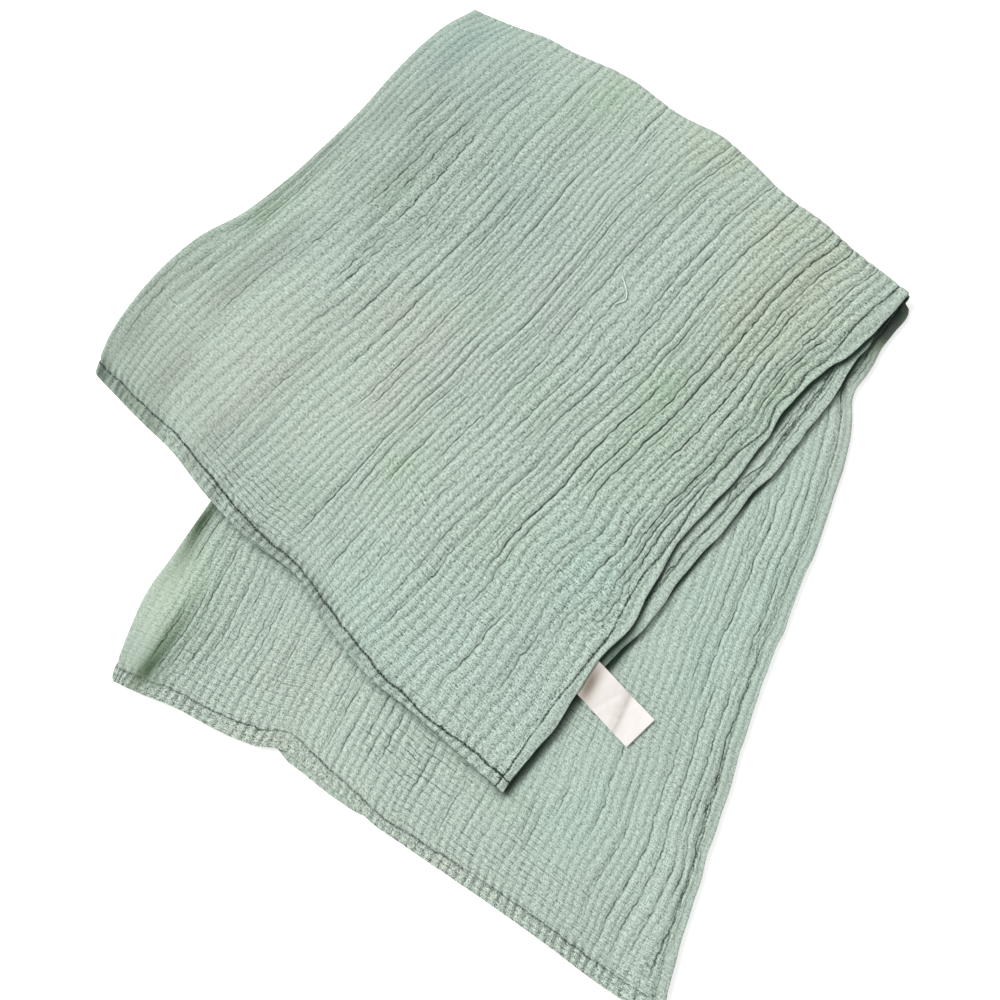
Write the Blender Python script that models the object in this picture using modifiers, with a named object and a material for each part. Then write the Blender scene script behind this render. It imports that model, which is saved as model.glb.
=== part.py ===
"""Swaddle blanket of crinkled double gauze, folded into four layers, with its sewn-in care label.

A square of cloth is folded in half lengthwise and then in half crosswise, and its lower half is fanned
out to one side. From the top down the layers are top outer, top inner, low inner and low outer. The outer
layers are one long half of the cloth and the inner layers are the other, so the crosswise fold is one loop
round another.

Metres, +Z up. The origin is the middle of the footprint, on the surface that the blanket lies on.
"""

from typing import NamedTuple

import bmesh
import bpy
import numpy as np

# ---------------------------------------------------------------- driving dimensions
CLOTH = 0.0020  # thickness of one layer of the crinkled double gauze
SPACING = 0.0034  # from the middle of one layer to the middle of the next, where they lie flat
FOLD_LOFT = 0.0040  # how much further apart the inner layers stand inside the crosswise fold
FOLD_LOFT_REACH = 0.030  # how fast that loft dies away from the fold
TURN_LOFT = 0.0008  # how much the lengthwise fold's loop swells at its edge
TURN_LOFT_REACH = 0.014
DROP_START = 0.005  # how far past the low flap's folded edge the top flap starts down to the surface
DROP_RUN = 0.085  # how far it takes to get there
INNER_SHORT = 0.988  # the hidden hem of each flap stops this share of the way to the visible one

# Corners of the two flaps. At the folds they lie on the axis of the loop, which stands out by its own radius.
FOLD_LEFT = (-0.0353, 0.4405)
FOLD_RIGHT = (0.3469, 0.1257)
TOP_HEM_LEFT = (-0.3497, 0.0489)
TOP_HEM_RIGHT = (-0.0065, -0.2934)
LOW_HEM_LEFT = (-0.3075, -0.2098)
LOW_HEM_RIGHT = (0.1043, -0.4485)


class Bow(NamedTuple):
    """How far an edge stands out of the straight line between its corners, at a share of the way along it."""

    share: float
    out: float


FOLD_BOWS = (
    Bow(0.00, 0.000), Bow(0.05, 0.007), Bow(0.10, 0.013), Bow(0.15, 0.020), Bow(0.20, 0.022),
    Bow(0.30, 0.029), Bow(0.35, 0.031), Bow(0.45, 0.028), Bow(0.55, 0.031), Bow(0.65, 0.024),
    Bow(0.70, 0.018), Bow(0.80, 0.012), Bow(0.90, 0.005), Bow(1.00, 0.000),
)
TOP_LEFT_BOWS = (
    Bow(0.00, 0.000), Bow(0.05, 0.010), Bow(0.10, 0.014), Bow(0.20, 0.015), Bow(0.30, 0.012),
    Bow(0.40, 0.013), Bow(0.50, 0.015), Bow(0.60, 0.021), Bow(0.70, 0.036), Bow(0.75, 0.038),
    Bow(0.85, 0.035), Bow(0.95, 0.023), Bow(1.00, 0.001),
)
TOP_HEM_BOWS = (
    Bow(0.00, 0.001), Bow(0.12, 0.001), Bow(0.20, 0.000), Bow(0.31, 0.005), Bow(0.42, 0.005),
    Bow(0.53, -0.002), Bow(0.63, 0.008), Bow(0.73, 0.012), Bow(0.81, 0.007), Bow(0.89, 0.004),
    Bow(1.00, 0.000),
)
TOP_OUTER_RIGHT_BOWS = (
    Bow(0.00, 0.000), Bow(0.08, -0.001), Bow(0.14, -0.005), Bow(0.19, -0.013), Bow(0.24, -0.017),
    Bow(0.36, -0.016), Bow(0.44, -0.014), Bow(0.57, -0.017), Bow(0.64, -0.010), Bow(0.72, -0.005),
    Bow(0.77, -0.007), Bow(0.84, -0.004), Bow(0.91, -0.001), Bow(1.00, 0.000),
)
TOP_INNER_RIGHT_BOWS = (
    Bow(0.00, 0.000), Bow(0.05, -0.001), Bow(0.10, 0.000), Bow(0.15, 0.002), Bow(0.21, 0.005),
    Bow(0.28, 0.005), Bow(0.40, 0.006), Bow(0.47, 0.004), Bow(0.53, 0.003), Bow(0.62, 0.003),
    Bow(0.77, 0.001), Bow(0.84, -0.005), Bow(1.00, -0.010),
)
LOW_LEFT_BOWS = (
    Bow(0.00, 0.000), Bow(0.80, 0.001), Bow(0.85, 0.005), Bow(0.89, 0.009), Bow(0.95, 0.006),
    Bow(1.00, 0.000),
)
LOW_HEM_BOWS = (
    Bow(0.00, 0.000), Bow(0.05, -0.003), Bow(0.10, -0.007), Bow(0.20, -0.010), Bow(0.30, -0.017),
    Bow(0.40, -0.013), Bow(0.50, -0.011), Bow(0.60, -0.009), Bow(0.70, -0.007), Bow(0.80, -0.004),
    Bow(0.90, 0.000), Bow(1.00, 0.000),
)
LOW_INNER_RIGHT_BOWS = (
    Bow(0.00, 0.000), Bow(0.015, 0.007), Bow(0.03, 0.006), Bow(0.05, 0.002), Bow(0.08, -0.003),
    Bow(0.125, -0.007), Bow(0.16, -0.013), Bow(0.18, -0.013), Bow(0.205, -0.009), Bow(0.25, -0.005),
    Bow(0.30, -0.003), Bow(0.50, -0.006), Bow(0.60, -0.009), Bow(0.80, -0.007), Bow(0.90, -0.006),
    Bow(1.00, 0.000),
)
LOW_OUTER_TUCK = 0.004  # how far the bottom layer's side hem lies inside the one over it
TUCK_RUN = 0.125  # share of the edge that a tuck takes to come in from a corner


class Ridge(NamedTuple):
    """A soft raised fold along a flap. Across and along are shares from the left edge and from the fold."""

    across_start: float
    across_end: float
    along_start: float
    along_end: float
    width: float
    height: float


TOP_RIDGES = (
    Ridge(0.11, 0.09, 0.10, 0.62, 0.060, 0.0020),
    Ridge(0.22, 0.30, 0.30, 0.95, 0.070, 0.0016),
    Ridge(0.31, 0.34, -0.05, 0.55, 0.060, 0.0018),
    Ridge(0.45, 0.47, 0.35, 1.00, 0.065, 0.0016),
    Ridge(0.55, 0.56, -0.10, 0.60, 0.055, 0.0019),
    Ridge(0.68, 0.66, 0.20, 0.85, 0.060, 0.0017),
    Ridge(0.80, 0.79, -0.10, 0.50, 0.050, 0.0022),
    Ridge(0.86, 0.86, 0.45, 1.05, 0.050, 0.0020),
    Ridge(0.94, 0.93, 0.05, 0.70, 0.040, 0.0024),
)
LOW_RIDGES = (
    Ridge(0.05, 0.07, 0.72, 1.02, 0.050, 0.0026),
    Ridge(0.24, 0.24, 0.70, 1.00, 0.055, 0.0014),
    Ridge(0.48, 0.47, 0.80, 1.02, 0.060, 0.0014),
    Ridge(0.88, 0.87, 0.30, 0.70, 0.045, 0.0018),
    Ridge(0.80, 0.82, 0.78, 1.02, 0.055, 0.0016),
    Ridge(0.95, 0.96, 0.20, 0.98, 0.035, 0.0024),
)
LOW_RIDGE_SHELTER = 0.030  # the low flap lies flat under the top one, and its ridges start this far out of it

# Mesh of the blanket: cells across one layer, round a loop, and along one flap.
ACROSS_CELLS = 30
LENGTHWISE_LOOP_CELLS = 5
CROSSWISE_LOOP_CELLS = 6
ALONG_CELLS = 14
EDGE_CROWDING = 1.35  # over 1 crowds the cells towards the folds

# Care label: a folded satin strip sewn in under the top outer layer's side hem.
LABEL_WIDTH = 0.030
LABEL_THICKNESS = 0.0005
LABEL_ROOT = (0.0506, -0.1981)  # middle of its sewn end, under the hem
LABEL_DIRECTION = (0.674, -0.738)


class LabelStep(NamedTuple):
    """Height of the label's middle above the surface, at a distance from its sewn end."""

    distance: float
    height: float


LABEL_HEIGHTS = (
    LabelStep(0.000, 0.0096), LabelStep(0.020, 0.0096), LabelStep(0.026, 0.0095), LabelStep(0.036, 0.0084),
    LabelStep(0.046, 0.0074), LabelStep(0.056, 0.0072), LabelStep(0.070, 0.0074),
)
LABEL_LENGTH = LABEL_HEIGHTS[-1].distance
LABEL_CELLS = (3, 20)  # across and along

MUSLIN_COLOUR = (0.400, 0.482, 0.420, 1.0)
MUSLIN_ROUGHNESS = 0.95
SATIN_COLOUR = (0.820, 0.790, 0.760, 1.0)
SATIN_ROUGHNESS = 0.45


# ---------------------------------------------------------------- outlines and flaps
def smooth_through(table, at):
    """A smooth curve through the table's rows, each a place and its value, read at the places given."""
    places, values = np.array(table).T
    slopes = np.gradient(values, places)
    span = np.clip(np.searchsorted(places, at, side="right") - 1, 0, len(places) - 2)
    width = places[span + 1] - places[span]
    t = np.clip((at - places[span]) / width, 0.0, 1.0)
    from_start = (2 * t**3 - 3 * t**2 + 1) * values[span] + (t**3 - 2 * t**2 + t) * width * slopes[span]
    to_end = (3 * t**2 - 2 * t**3) * values[span + 1] + (t**3 - t**2) * width * slopes[span + 1]
    return from_start + to_end


def ease(t):
    """A smooth step from 0 to 1."""
    t = np.clip(t, 0.0, 1.0)
    return t * t * (3 - 2 * t)


class Edge:
    """One edge of a flap, from corner to corner, bowed by its table. side is 1 where out lies to its left."""

    def __init__(self, start, end, side, bows, tuck=0.0):
        self.start = np.array(start)
        line = np.array(end) - self.start
        self.length = np.linalg.norm(line)
        self.direction = line / self.length
        self.outward = side * np.array([-self.direction[1], self.direction[0]])
        self.bows = bows
        self.tuck = tuck

    def out(self, share):
        """How far the edge stands out. The tuck draws its middle inwards and leaves its corners."""
        tucked = ease(share / TUCK_RUN) * ease((1 - share) / TUCK_RUN)
        return smooth_through(self.bows, share) - self.tuck * tucked

    def at(self, share):
        """Points on the edge, in plan."""
        run = share * self.length
        return self.start + run[..., None] * self.direction + self.out(share)[..., None] * self.outward

    def depth(self, points):
        """How far inside the edge each point lies."""
        reach = points - self.start
        share = np.clip(reach @ self.direction / self.length, 0.0, 1.0)
        return smooth_through(self.bows, share) - reach @ self.outward


class Flap:
    """A four-sided patch of cloth: across runs from the folded left edge, along from the crosswise fold."""

    def __init__(self, fold, hem, left, right):
        self.fold, self.hem, self.left, self.right = fold, hem, left, right

    def at(self, across, along):
        """Points in plan, blended from the four edges."""
        one, zero = np.ones_like(across), np.zeros_like(across)
        u, v = across[..., None], along[..., None]
        sides = (1 - u) * self.left.at(along) + u * self.right.at(along)
        ends = (1 - v) * self.fold.at(across) + v * self.hem.at(across)
        near = (1 - u) * self.fold.at(zero) + u * self.fold.at(one)
        far = (1 - u) * self.hem.at(zero) + u * self.hem.at(one)
        return sides + ends - (1 - v) * near - v * far


FOLD = Edge(FOLD_LEFT, FOLD_RIGHT, 1, FOLD_BOWS)
TOP_LEFT = Edge(FOLD_LEFT, TOP_HEM_LEFT, -1, TOP_LEFT_BOWS)
TOP_HEM = Edge(TOP_HEM_LEFT, TOP_HEM_RIGHT, -1, TOP_HEM_BOWS)
TOP_OUTER_RIGHT = Edge(FOLD_RIGHT, TOP_HEM_RIGHT, 1, TOP_OUTER_RIGHT_BOWS)
TOP_INNER_RIGHT = Edge(FOLD_RIGHT, TOP_HEM_RIGHT, 1, TOP_INNER_RIGHT_BOWS)
LOW_LEFT = Edge(FOLD_LEFT, LOW_HEM_LEFT, -1, LOW_LEFT_BOWS)
LOW_HEM = Edge(LOW_HEM_LEFT, LOW_HEM_RIGHT, -1, LOW_HEM_BOWS)
LOW_INNER_RIGHT = Edge(FOLD_RIGHT, LOW_HEM_RIGHT, 1, LOW_INNER_RIGHT_BOWS)
LOW_OUTER_RIGHT = Edge(FOLD_RIGHT, LOW_HEM_RIGHT, 1, LOW_INNER_RIGHT_BOWS, LOW_OUTER_TUCK)

TOP_OUTER = Flap(FOLD, TOP_HEM, TOP_LEFT, TOP_OUTER_RIGHT)
TOP_INNER = Flap(FOLD, TOP_HEM, TOP_LEFT, TOP_INNER_RIGHT)
LOW_INNER = Flap(FOLD, LOW_HEM, LOW_LEFT, LOW_INNER_RIGHT)
LOW_OUTER = Flap(FOLD, LOW_HEM, LOW_LEFT, LOW_OUTER_RIGHT)


# ---------------------------------------------------------------- heights
def loft(depth, height, reach):
    """Swelling that is full at an edge and dies away inwards."""
    return height * np.exp(-np.maximum(depth, 0.0) / reach)


def ridge_heights(ridges, across, along, width, length):
    """Height that the ridges add to a flap of this width and length."""
    total = np.zeros_like(across)
    for ridge in ridges:
        way = (along - ridge.along_start) / (ridge.along_end - ridge.along_start)
        middle = ridge.across_start + np.clip(way, 0.0, 1.0) * (ridge.across_end - ridge.across_start)
        past_end = np.maximum(np.maximum(-way, way - 1.0), 0.0) * (ridge.along_end - ridge.along_start)
        aside = (across - middle) * width / (ridge.width / 2)
        beyond = past_end * length / (ridge.width / 2)
        total += ridge.height * np.exp(-(aside**2) - beyond**2 / 2)
    return total


def half_gap(left, plan):
    """Half the distance between the two layers that are joined at this left edge."""
    return SPACING / 2 + loft(left.depth(plan), TURN_LOFT, TURN_LOFT_REACH)


def top_inner_height(plan):
    """Height of the top flap's lower layer: on the low flap, or on the surface where it hangs past it."""
    on_low_flap = CLOTH / 2 + 2 * half_gap(LOW_LEFT, plan) + SPACING
    on_low_flap += loft(FOLD.depth(plan), FOLD_LOFT, FOLD_LOFT_REACH)
    dropped = ease((-LOW_LEFT.depth(plan) - DROP_START) / DROP_RUN)
    return (1 - dropped) * on_low_flap + dropped * CLOTH / 2


def top_ridge_lift(across, along, inner):
    """What the top flap's ridges add. They pass through both of its layers, though the inner one is wider."""
    wider = TOP_INNER_RIGHT.out(along) - TOP_OUTER_RIGHT.out(along)
    outer_across = across * (1 + inner * wider / TOP_HEM.length)
    return ridge_heights(TOP_RIDGES, outer_across, along, TOP_HEM.length, TOP_OUTER_RIGHT.length)


def low_ridge_lift(across, along, plan):
    """What the low flap's ridges add, faded out where the top flap lies on it."""
    covered = np.minimum(TOP_HEM.depth(plan), TOP_INNER_RIGHT.depth(plan))
    open_to_view = ease(-covered / LOW_RIDGE_SHELTER)
    return open_to_view * ridge_heights(LOW_RIDGES, across, along, LOW_HEM.length, LOW_INNER_RIGHT.length)


# ---------------------------------------------------------------- the folded sheet
class Column(NamedTuple):
    """A line of the cloth along its length. lift is 1 on an outer layer and -1 on an inner one."""

    across: float
    lift: float
    bulge: float
    inner: float


class Row(NamedTuple):
    """A line of the cloth across its width. turn runs from 0 on the top flap to pi on the low one."""

    along: float
    turn: float


def crowded(cells):
    """Shares from 0 to 1, closer together near 0."""
    return np.linspace(0.0, 1.0, cells + 1) ** EDGE_CROWDING


def sheet_columns():
    """From the outer layers' side hem, round the lengthwise fold, to the inner layers' side hem."""
    outer = [Column(share, 1.0, 0.0, 0.0) for share in crowded(ACROSS_CELLS)[::-1]]
    angles = np.linspace(0.0, np.pi, LENGTHWISE_LOOP_CELLS + 1)[1:-1]
    loop = [Column(0.0, np.cos(angle), np.sin(angle), angle / np.pi) for angle in angles]
    inner = [Column(share, -1.0, 0.0, 1.0) for share in crowded(ACROSS_CELLS)]
    return outer + loop + inner


def sheet_rows():
    """From the top flap's hem, round the crosswise fold, to the low flap's hem."""
    top = [Row(share, 0.0) for share in crowded(ALONG_CELLS)[::-1]]
    loop = [Row(0.0, angle) for angle in np.linspace(0.0, np.pi, CROSSWISE_LOOP_CELLS + 1)[1:-1]]
    low = [Row(share, np.pi) for share in crowded(ALONG_CELLS)]
    return top + loop + low


def flap_surface(column, along, is_low):
    """Where the column's points lie in plan, the middle of the flap's two layers, and half their distance."""
    outer, inner, left = (LOW_OUTER, LOW_INNER, LOW_LEFT) if is_low else (TOP_OUTER, TOP_INNER, TOP_LEFT)
    across = np.full_like(along, column.across)
    plan = (1 - column.inner) * outer.at(across, along) + column.inner * inner.at(across, along)
    if is_low:
        half = half_gap(left, plan) + low_ridge_lift(across, along, plan) / 2
        middle = CLOTH / 2 + half
    else:
        half = half_gap(left, plan)
        middle = top_inner_height(plan) + top_ridge_lift(across, along, column.inner) + half
    return plan, middle, half, left.outward


def column_points(column, rows):
    """One line of the folded cloth, from hem to hem."""
    turn = np.array([row.turn for row in rows])
    along = np.array([row.along for row in rows])
    hidden_on_top = 1 - (1 - INNER_SHORT) * column.inner
    hidden_below = 1 - (1 - INNER_SHORT) * (1 - column.inner)
    top_plan, top_middle, top_half, top_out = flap_surface(column, along * hidden_on_top, is_low=False)
    low_plan, low_middle, low_half, low_out = flap_surface(column, along * hidden_below, is_low=True)

    is_low = turn > np.pi / 2
    plan = np.where(is_low[:, None], low_plan, top_plan)
    share_low = (1 - np.cos(turn)) / 2
    half = (1 - share_low) * top_half + share_low * low_half
    radius = (top_middle - low_middle) / 2
    in_loop = (turn > 0) & (turn < np.pi)
    centre = np.where(in_loop, (top_middle + low_middle) / 2, np.where(is_low, low_middle, top_middle))
    reach = np.where(in_loop, radius, 0.0) + column.lift * half
    side_out = (1 - share_low)[:, None] * top_out + share_low[:, None] * low_out

    plan = plan + (reach * np.sin(turn))[:, None] * FOLD.outward
    plan = plan + (column.bulge * half)[:, None] * side_out
    return np.column_stack([plan, centre + reach * np.cos(turn)])


# ---------------------------------------------------------------- objects
def remove_everything():
    """Start from an empty scene."""
    for thing in list(bpy.data.objects):
        bpy.data.objects.remove(thing, do_unlink=True)


def new_collection(name):
    """A collection for the object's parts."""
    collection = bpy.data.collections.new(name)
    bpy.context.scene.collection.children.link(collection)
    return collection


def new_material(name, colour, roughness):
    """A plain cloth finish."""
    material = bpy.data.materials.new(name)
    material.use_nodes = True
    shader = material.node_tree.nodes["Principled BSDF"]
    shader.inputs["Base Color"].default_value = colour
    shader.inputs["Roughness"].default_value = roughness
    return material


def sheet_object(name, points, thickness, material, collection):
    """A cloth of this thickness on a grid of points, given as rows of columns."""
    rows, columns = points.shape[:2]
    mesh = bpy.data.meshes.new(name)
    grid = bmesh.new()
    bmesh.ops.create_grid(grid, x_segments=columns - 1, y_segments=rows - 1, size=0.5)
    for vertex in grid.verts:
        column = round((vertex.co.x + 0.5) * (columns - 1))
        row = round((vertex.co.y + 0.5) * (rows - 1))
        vertex.co = points[row, column]
    for face in grid.faces:
        face.smooth = True
    grid.to_mesh(mesh)
    grid.free()
    mesh.materials.append(material)
    cloth = bpy.data.objects.new(name, mesh)
    collection.objects.link(cloth)
    solidify = cloth.modifiers.new("Thickness", "SOLIDIFY")
    solidify.thickness = thickness
    solidify.offset = 0.0
    return cloth


def make_blanket(collection):
    """The folded square of cloth, with its hems as part of it."""
    rows = sheet_rows()
    lines = [column_points(column, rows) for column in sheet_columns()]
    points = np.stack(lines, axis=1)
    muslin = new_material("muslin", MUSLIN_COLOUR, MUSLIN_ROUGHNESS)
    return sheet_object("blanket", points, CLOTH, muslin, collection)


def make_label(collection):
    """The label: it comes out from under the hem, crosses the inner layer's edge and lies on the low flap."""
    direction = np.array(LABEL_DIRECTION)
    sideways = np.array([direction[1], -direction[0]])
    across_cells, along_cells = LABEL_CELLS
    run, aside = np.meshgrid(
        np.linspace(0.0, LABEL_LENGTH, along_cells + 1),
        np.linspace(-LABEL_WIDTH / 2, LABEL_WIDTH / 2, across_cells + 1),
        indexing="ij",
    )
    plan = np.array(LABEL_ROOT) + run[..., None] * direction - aside[..., None] * sideways
    points = np.concatenate([plan, smooth_through(LABEL_HEIGHTS, run)[..., None]], axis=-1)
    satin = new_material("label satin", SATIN_COLOUR, SATIN_ROUGHNESS)
    return sheet_object("care_label", points, LABEL_THICKNESS, satin, collection)


def main():
    """Build the blanket and its label."""
    remove_everything()
    collection = new_collection("swaddle blanket")
    make_blanket(collection)
    make_label(collection)


main()
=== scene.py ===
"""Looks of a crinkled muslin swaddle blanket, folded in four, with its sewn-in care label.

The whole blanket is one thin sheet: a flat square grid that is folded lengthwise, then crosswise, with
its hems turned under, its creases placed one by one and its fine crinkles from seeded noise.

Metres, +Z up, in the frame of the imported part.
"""

from __future__ import annotations

import logging
import math
from dataclasses import dataclass, field
from enum import Enum
from typing import Any, NamedTuple, Sequence

import bpy
import numpy as np
from mathutils import Matrix
from mathutils.bvhtree import BVHTree


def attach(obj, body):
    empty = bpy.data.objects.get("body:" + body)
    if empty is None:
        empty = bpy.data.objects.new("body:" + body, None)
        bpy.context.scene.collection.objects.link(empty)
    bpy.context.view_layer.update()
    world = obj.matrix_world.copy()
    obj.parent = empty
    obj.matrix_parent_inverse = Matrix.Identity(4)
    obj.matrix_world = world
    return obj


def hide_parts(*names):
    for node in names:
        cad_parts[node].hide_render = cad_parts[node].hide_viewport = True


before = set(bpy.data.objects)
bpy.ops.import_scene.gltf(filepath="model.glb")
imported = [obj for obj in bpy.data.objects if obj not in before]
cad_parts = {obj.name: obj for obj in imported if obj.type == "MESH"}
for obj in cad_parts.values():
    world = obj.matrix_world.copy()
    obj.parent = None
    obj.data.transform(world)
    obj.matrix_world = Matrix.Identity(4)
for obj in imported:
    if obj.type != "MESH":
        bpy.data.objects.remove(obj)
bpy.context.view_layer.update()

Array = np.ndarray
Colour = tuple[float, float, float, float]
LOG = logging.getLogger("swaddle_blanket")
PI = math.pi

# ---------------------------------------------------------------- the folded cloth's sizes
# As in the part, but for two corners that stand a few millimetres further out.
CLOTH = 0.0020  # thickness of one layer of the part
SPACING = 0.0034  # from the middle of one layer to the middle of the next, where they lie flat
FOLD_LOFT = 0.0040
FOLD_LOFT_REACH = 0.030
TURN_LOFT = 0.0008
TURN_LOFT_REACH = 0.014
DROP_START = 0.005
DROP_RUN = 0.085
INNER_SHORT = 0.988  # the hidden hem of each flap stops this share of the way to the visible one
LOW_RIDGE_SHELTER = 0.030
LOW_OUTER_TUCK = 0.004
TUCK_RUN = 0.125
PEEP = 0.0075  # how far back the low visible hem is drawn, as a share, where the hidden one peeps out
PEEP_START = 0.27
PEEP_END = 0.52

FLAP_WIDTH = 0.490  # from the lengthwise fold to the side hem
TOP_LENGTH = 0.525  # from the crosswise fold to the top flap's hem
LOW_LENGTH = 0.665

FOLD_LEFT = (-0.0353, 0.4405)
FOLD_RIGHT = (0.3469, 0.1257)
TOP_HEM_LEFT = (-0.3497, 0.0489)
TOP_HEM_RIGHT = (-0.0065, -0.2934)
LOW_HEM_LEFT = (-0.3075, -0.2098)
LOW_HEM_RIGHT = (0.1043, -0.4485)

# Each bow table gives how far an edge stands out of its straight line: share of the way along it, metres.
FOLD_BOWS = (
    (0, 0), (.05, .007), (.1, .013), (.15, .02), (.2, .022), (.3, .029), (.35, .031), (.45, .028),
    (.55, .031), (.65, .024), (.7, .018), (.8, .012), (.9, .005), (1, 0),
)
TOP_LEFT_BOWS = (
    (0, 0), (.05, .01), (.1, .014), (.2, .015), (.3, .012), (.4, .013), (.5, .015), (.6, .021), (.7, .036),
    (.75, .038), (.85, .0345), (.95, .021), (1, .0065),
)
TOP_HEM_BOWS = (
    (0, .001), (.12, .001), (.2, 0), (.31, .005), (.42, .005), (.53, -.002), (.63, .008), (.73, .012),
    (.81, .007), (.89, .004), (1, 0),
)
TOP_OUTER_RIGHT_BOWS = (
    (0, 0), (.08, -.001), (.14, -.005), (.19, -.013), (.24, -.017), (.36, -.016), (.44, -.014),
    (.57, -.017), (.64, -.01), (.72, -.005), (.77, -.007), (.84, -.004), (.91, -.001), (1, 0),
)
TOP_INNER_RIGHT_BOWS = (
    (0, 0), (.05, -.001), (.1, 0), (.15, .002), (.21, .005), (.28, .005), (.4, .006), (.47, .004),
    (.53, .003), (.62, .003), (.77, .001), (.84, -.005), (1, -.01),
)
LOW_LEFT_BOWS = ((0, 0), (.8, .001), (.85, .005), (.89, .009), (.95, .006), (1, 0))
LOW_HEM_BOWS = (
    (0, 0), (.05, -.003), (.1, -.007), (.2, -.01), (.3, -.017), (.4, -.013), (.5, -.011), (.6, -.009),
    (.7, -.007), (.8, -.004), (.9, 0), (1, 0),
)
LOW_INNER_RIGHT_BOWS = (
    (0, .0024), (.006, .0062), (.015, .0074), (.03, .006), (.05, .002), (.08, -.003), (.125, -.007),
    (.16, -.013), (.18, -.013), (.205, -.009), (.25, -.005), (.3, -.003), (.5, -.006), (.6, -.009),
    (.8, -.007), (.9, -.006), (1, 0),
)


class Ridge(NamedTuple):
    """A broad raised fold along a flap. Across and along are shares from the left edge and from the fold."""

    across_start: float
    across_end: float
    along_start: float
    along_end: float
    width: float
    height: float


TOP_RIDGES = (
    Ridge(.11, .09, .1, .62, .06, .002),
    Ridge(.22, .3, .3, .95, .07, .0016),
    Ridge(.31, .34, -.05, .55, .06, .0018),
    Ridge(.45, .47, .35, 1, .065, .0016),
    Ridge(.55, .56, -.1, .6, .055, .0019),
    Ridge(.68, .66, .2, .85, .06, .0017),
    Ridge(.8, .79, -.1, .5, .05, .0022),
    Ridge(.86, .86, .45, 1.05, .05, .002),
    Ridge(.94, .93, .05, .7, .04, .0024),
)
LOW_RIDGES = (
    Ridge(.05, .07, .72, 1.02, .05, .0026),
    Ridge(.24, .24, .7, 1, .055, .0014),
    Ridge(.48, .47, .8, 1.02, .06, .0014),
    Ridge(.88, .87, .3, .7, .045, .0018),
    Ridge(.8, .82, .78, 1.02, .055, .0016),
    Ridge(.95, .96, .2, .98, .035, .0024),
)

# ---------------------------------------------------------------- how the crinkles run
# Each guide is one line of the crinkles: its share across, then its drift at each stop along the flap.
TOP_STOPS = (0, .1, .2, .3, .4, .5, .6, .7, .8, .9, 1)
TOP_GUIDES = (
    (0, (0, 0, 0, 0, 0, 0, 0, 0, 0, 0, 0)),
    (.03, (0, 0, 0, -.005, -.01, -.008, -.003, .008, .005, .002, -.005)),
    (.15, (0, .003, 0, -.003, -.002, 0, 0, .006, .005, -.008, -.025)),
    (.275, (0, .018, .027, .036, .04, .042, .045, .048, .044, .03, 0)),
    (.43, (0, .018, .028, .034, .035, .035, .038, .042, .036, .024, -.005)),
    (.55, (0, -.002, .006, .011, .013, .013, .012, .006, .006, 0, -.02)),
    (.6, (0, -.008, 0, .004, .001, .003, .001, -.004, -.005, -.012, -.03)),
    (.69, (0, -.004, .009, .015, .014, .01, .004, -.008, -.008, -.02, -.045)),
    (.845, (0, -.008, .006, .016, .006, .001, -.004, -.02, -.013, -.026, -.045)),
    (.895, (0, -.013, .003, .014, .008, .002, -.002, -.022, -.018, -.025, -.03)),
    (1, (0, 0, 0, 0, 0, 0, 0, 0, 0, 0, 0)),
)
LOW_STOPS = (0, .2, .4, .6, .7, .8, .85, .9, .95, 1)
LOW_GUIDES = (
    (0, (0, 0, 0, 0, 0, 0, 0, 0, 0, 0)),
    (.03, (0, 0, 0, 0, 0, -.004, 0, .003, -.005, -.02)),
    (.15, (0, 0, 0, 0, -.004, -.008, 0, .006, -.008, -.025)),
    (.3, (0, 0, 0, 0, 0, 0, .002, .003, -.006, -.018)),
    (.5, (0, 0, 0, 0, 0, 0, 0, 0, -.012, -.025)),
    (.72, (0, 0, 0, 0, 0, 0, 0, -.002, -.014, -.025)),
    (.86, (0, 0, 0, .002, 0, .002, .004, -.004, -.018, -.03)),
    (.93, (0, 0, .004, 0, -.002, 0, .002, -.006, -.022, -.035)),
    (.975, (0, 0, .004, .004, -.001, -.004, .004, 0, -.012, -.02)),
    (1, (0, 0, 0, 0, 0, 0, 0, 0, 0, 0)),
)

# How strong the fine crinkles are: share along the flap, then strength at each stop across.
STRENGTH_STOPS = (0, .33, .66, 1)
TOP_STRENGTH = (
    (0, (.45, .6, .8, 1.1)),
    (.35, (.75, .95, .9, 1.25)),
    (.65, (.6, .6, .88, 1)),
    (1, (.3, .45, .6, .65)),
)
LOW_STRENGTH = (
    (0, (.5, .5, .5, .6)),
    (.6, (.6, .5, .45, .6)),
    (.85, (.75, .52, .4, .52)),
    (1, (.7, .62, .52, .6)),
)


class Crease(NamedTuple):
    """A pinched line along the cloth, its place in shares of the flap and its strength from 1 to 4."""

    across: float
    start: float
    end: float
    strength: float
    width: float = 0.0030


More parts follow.
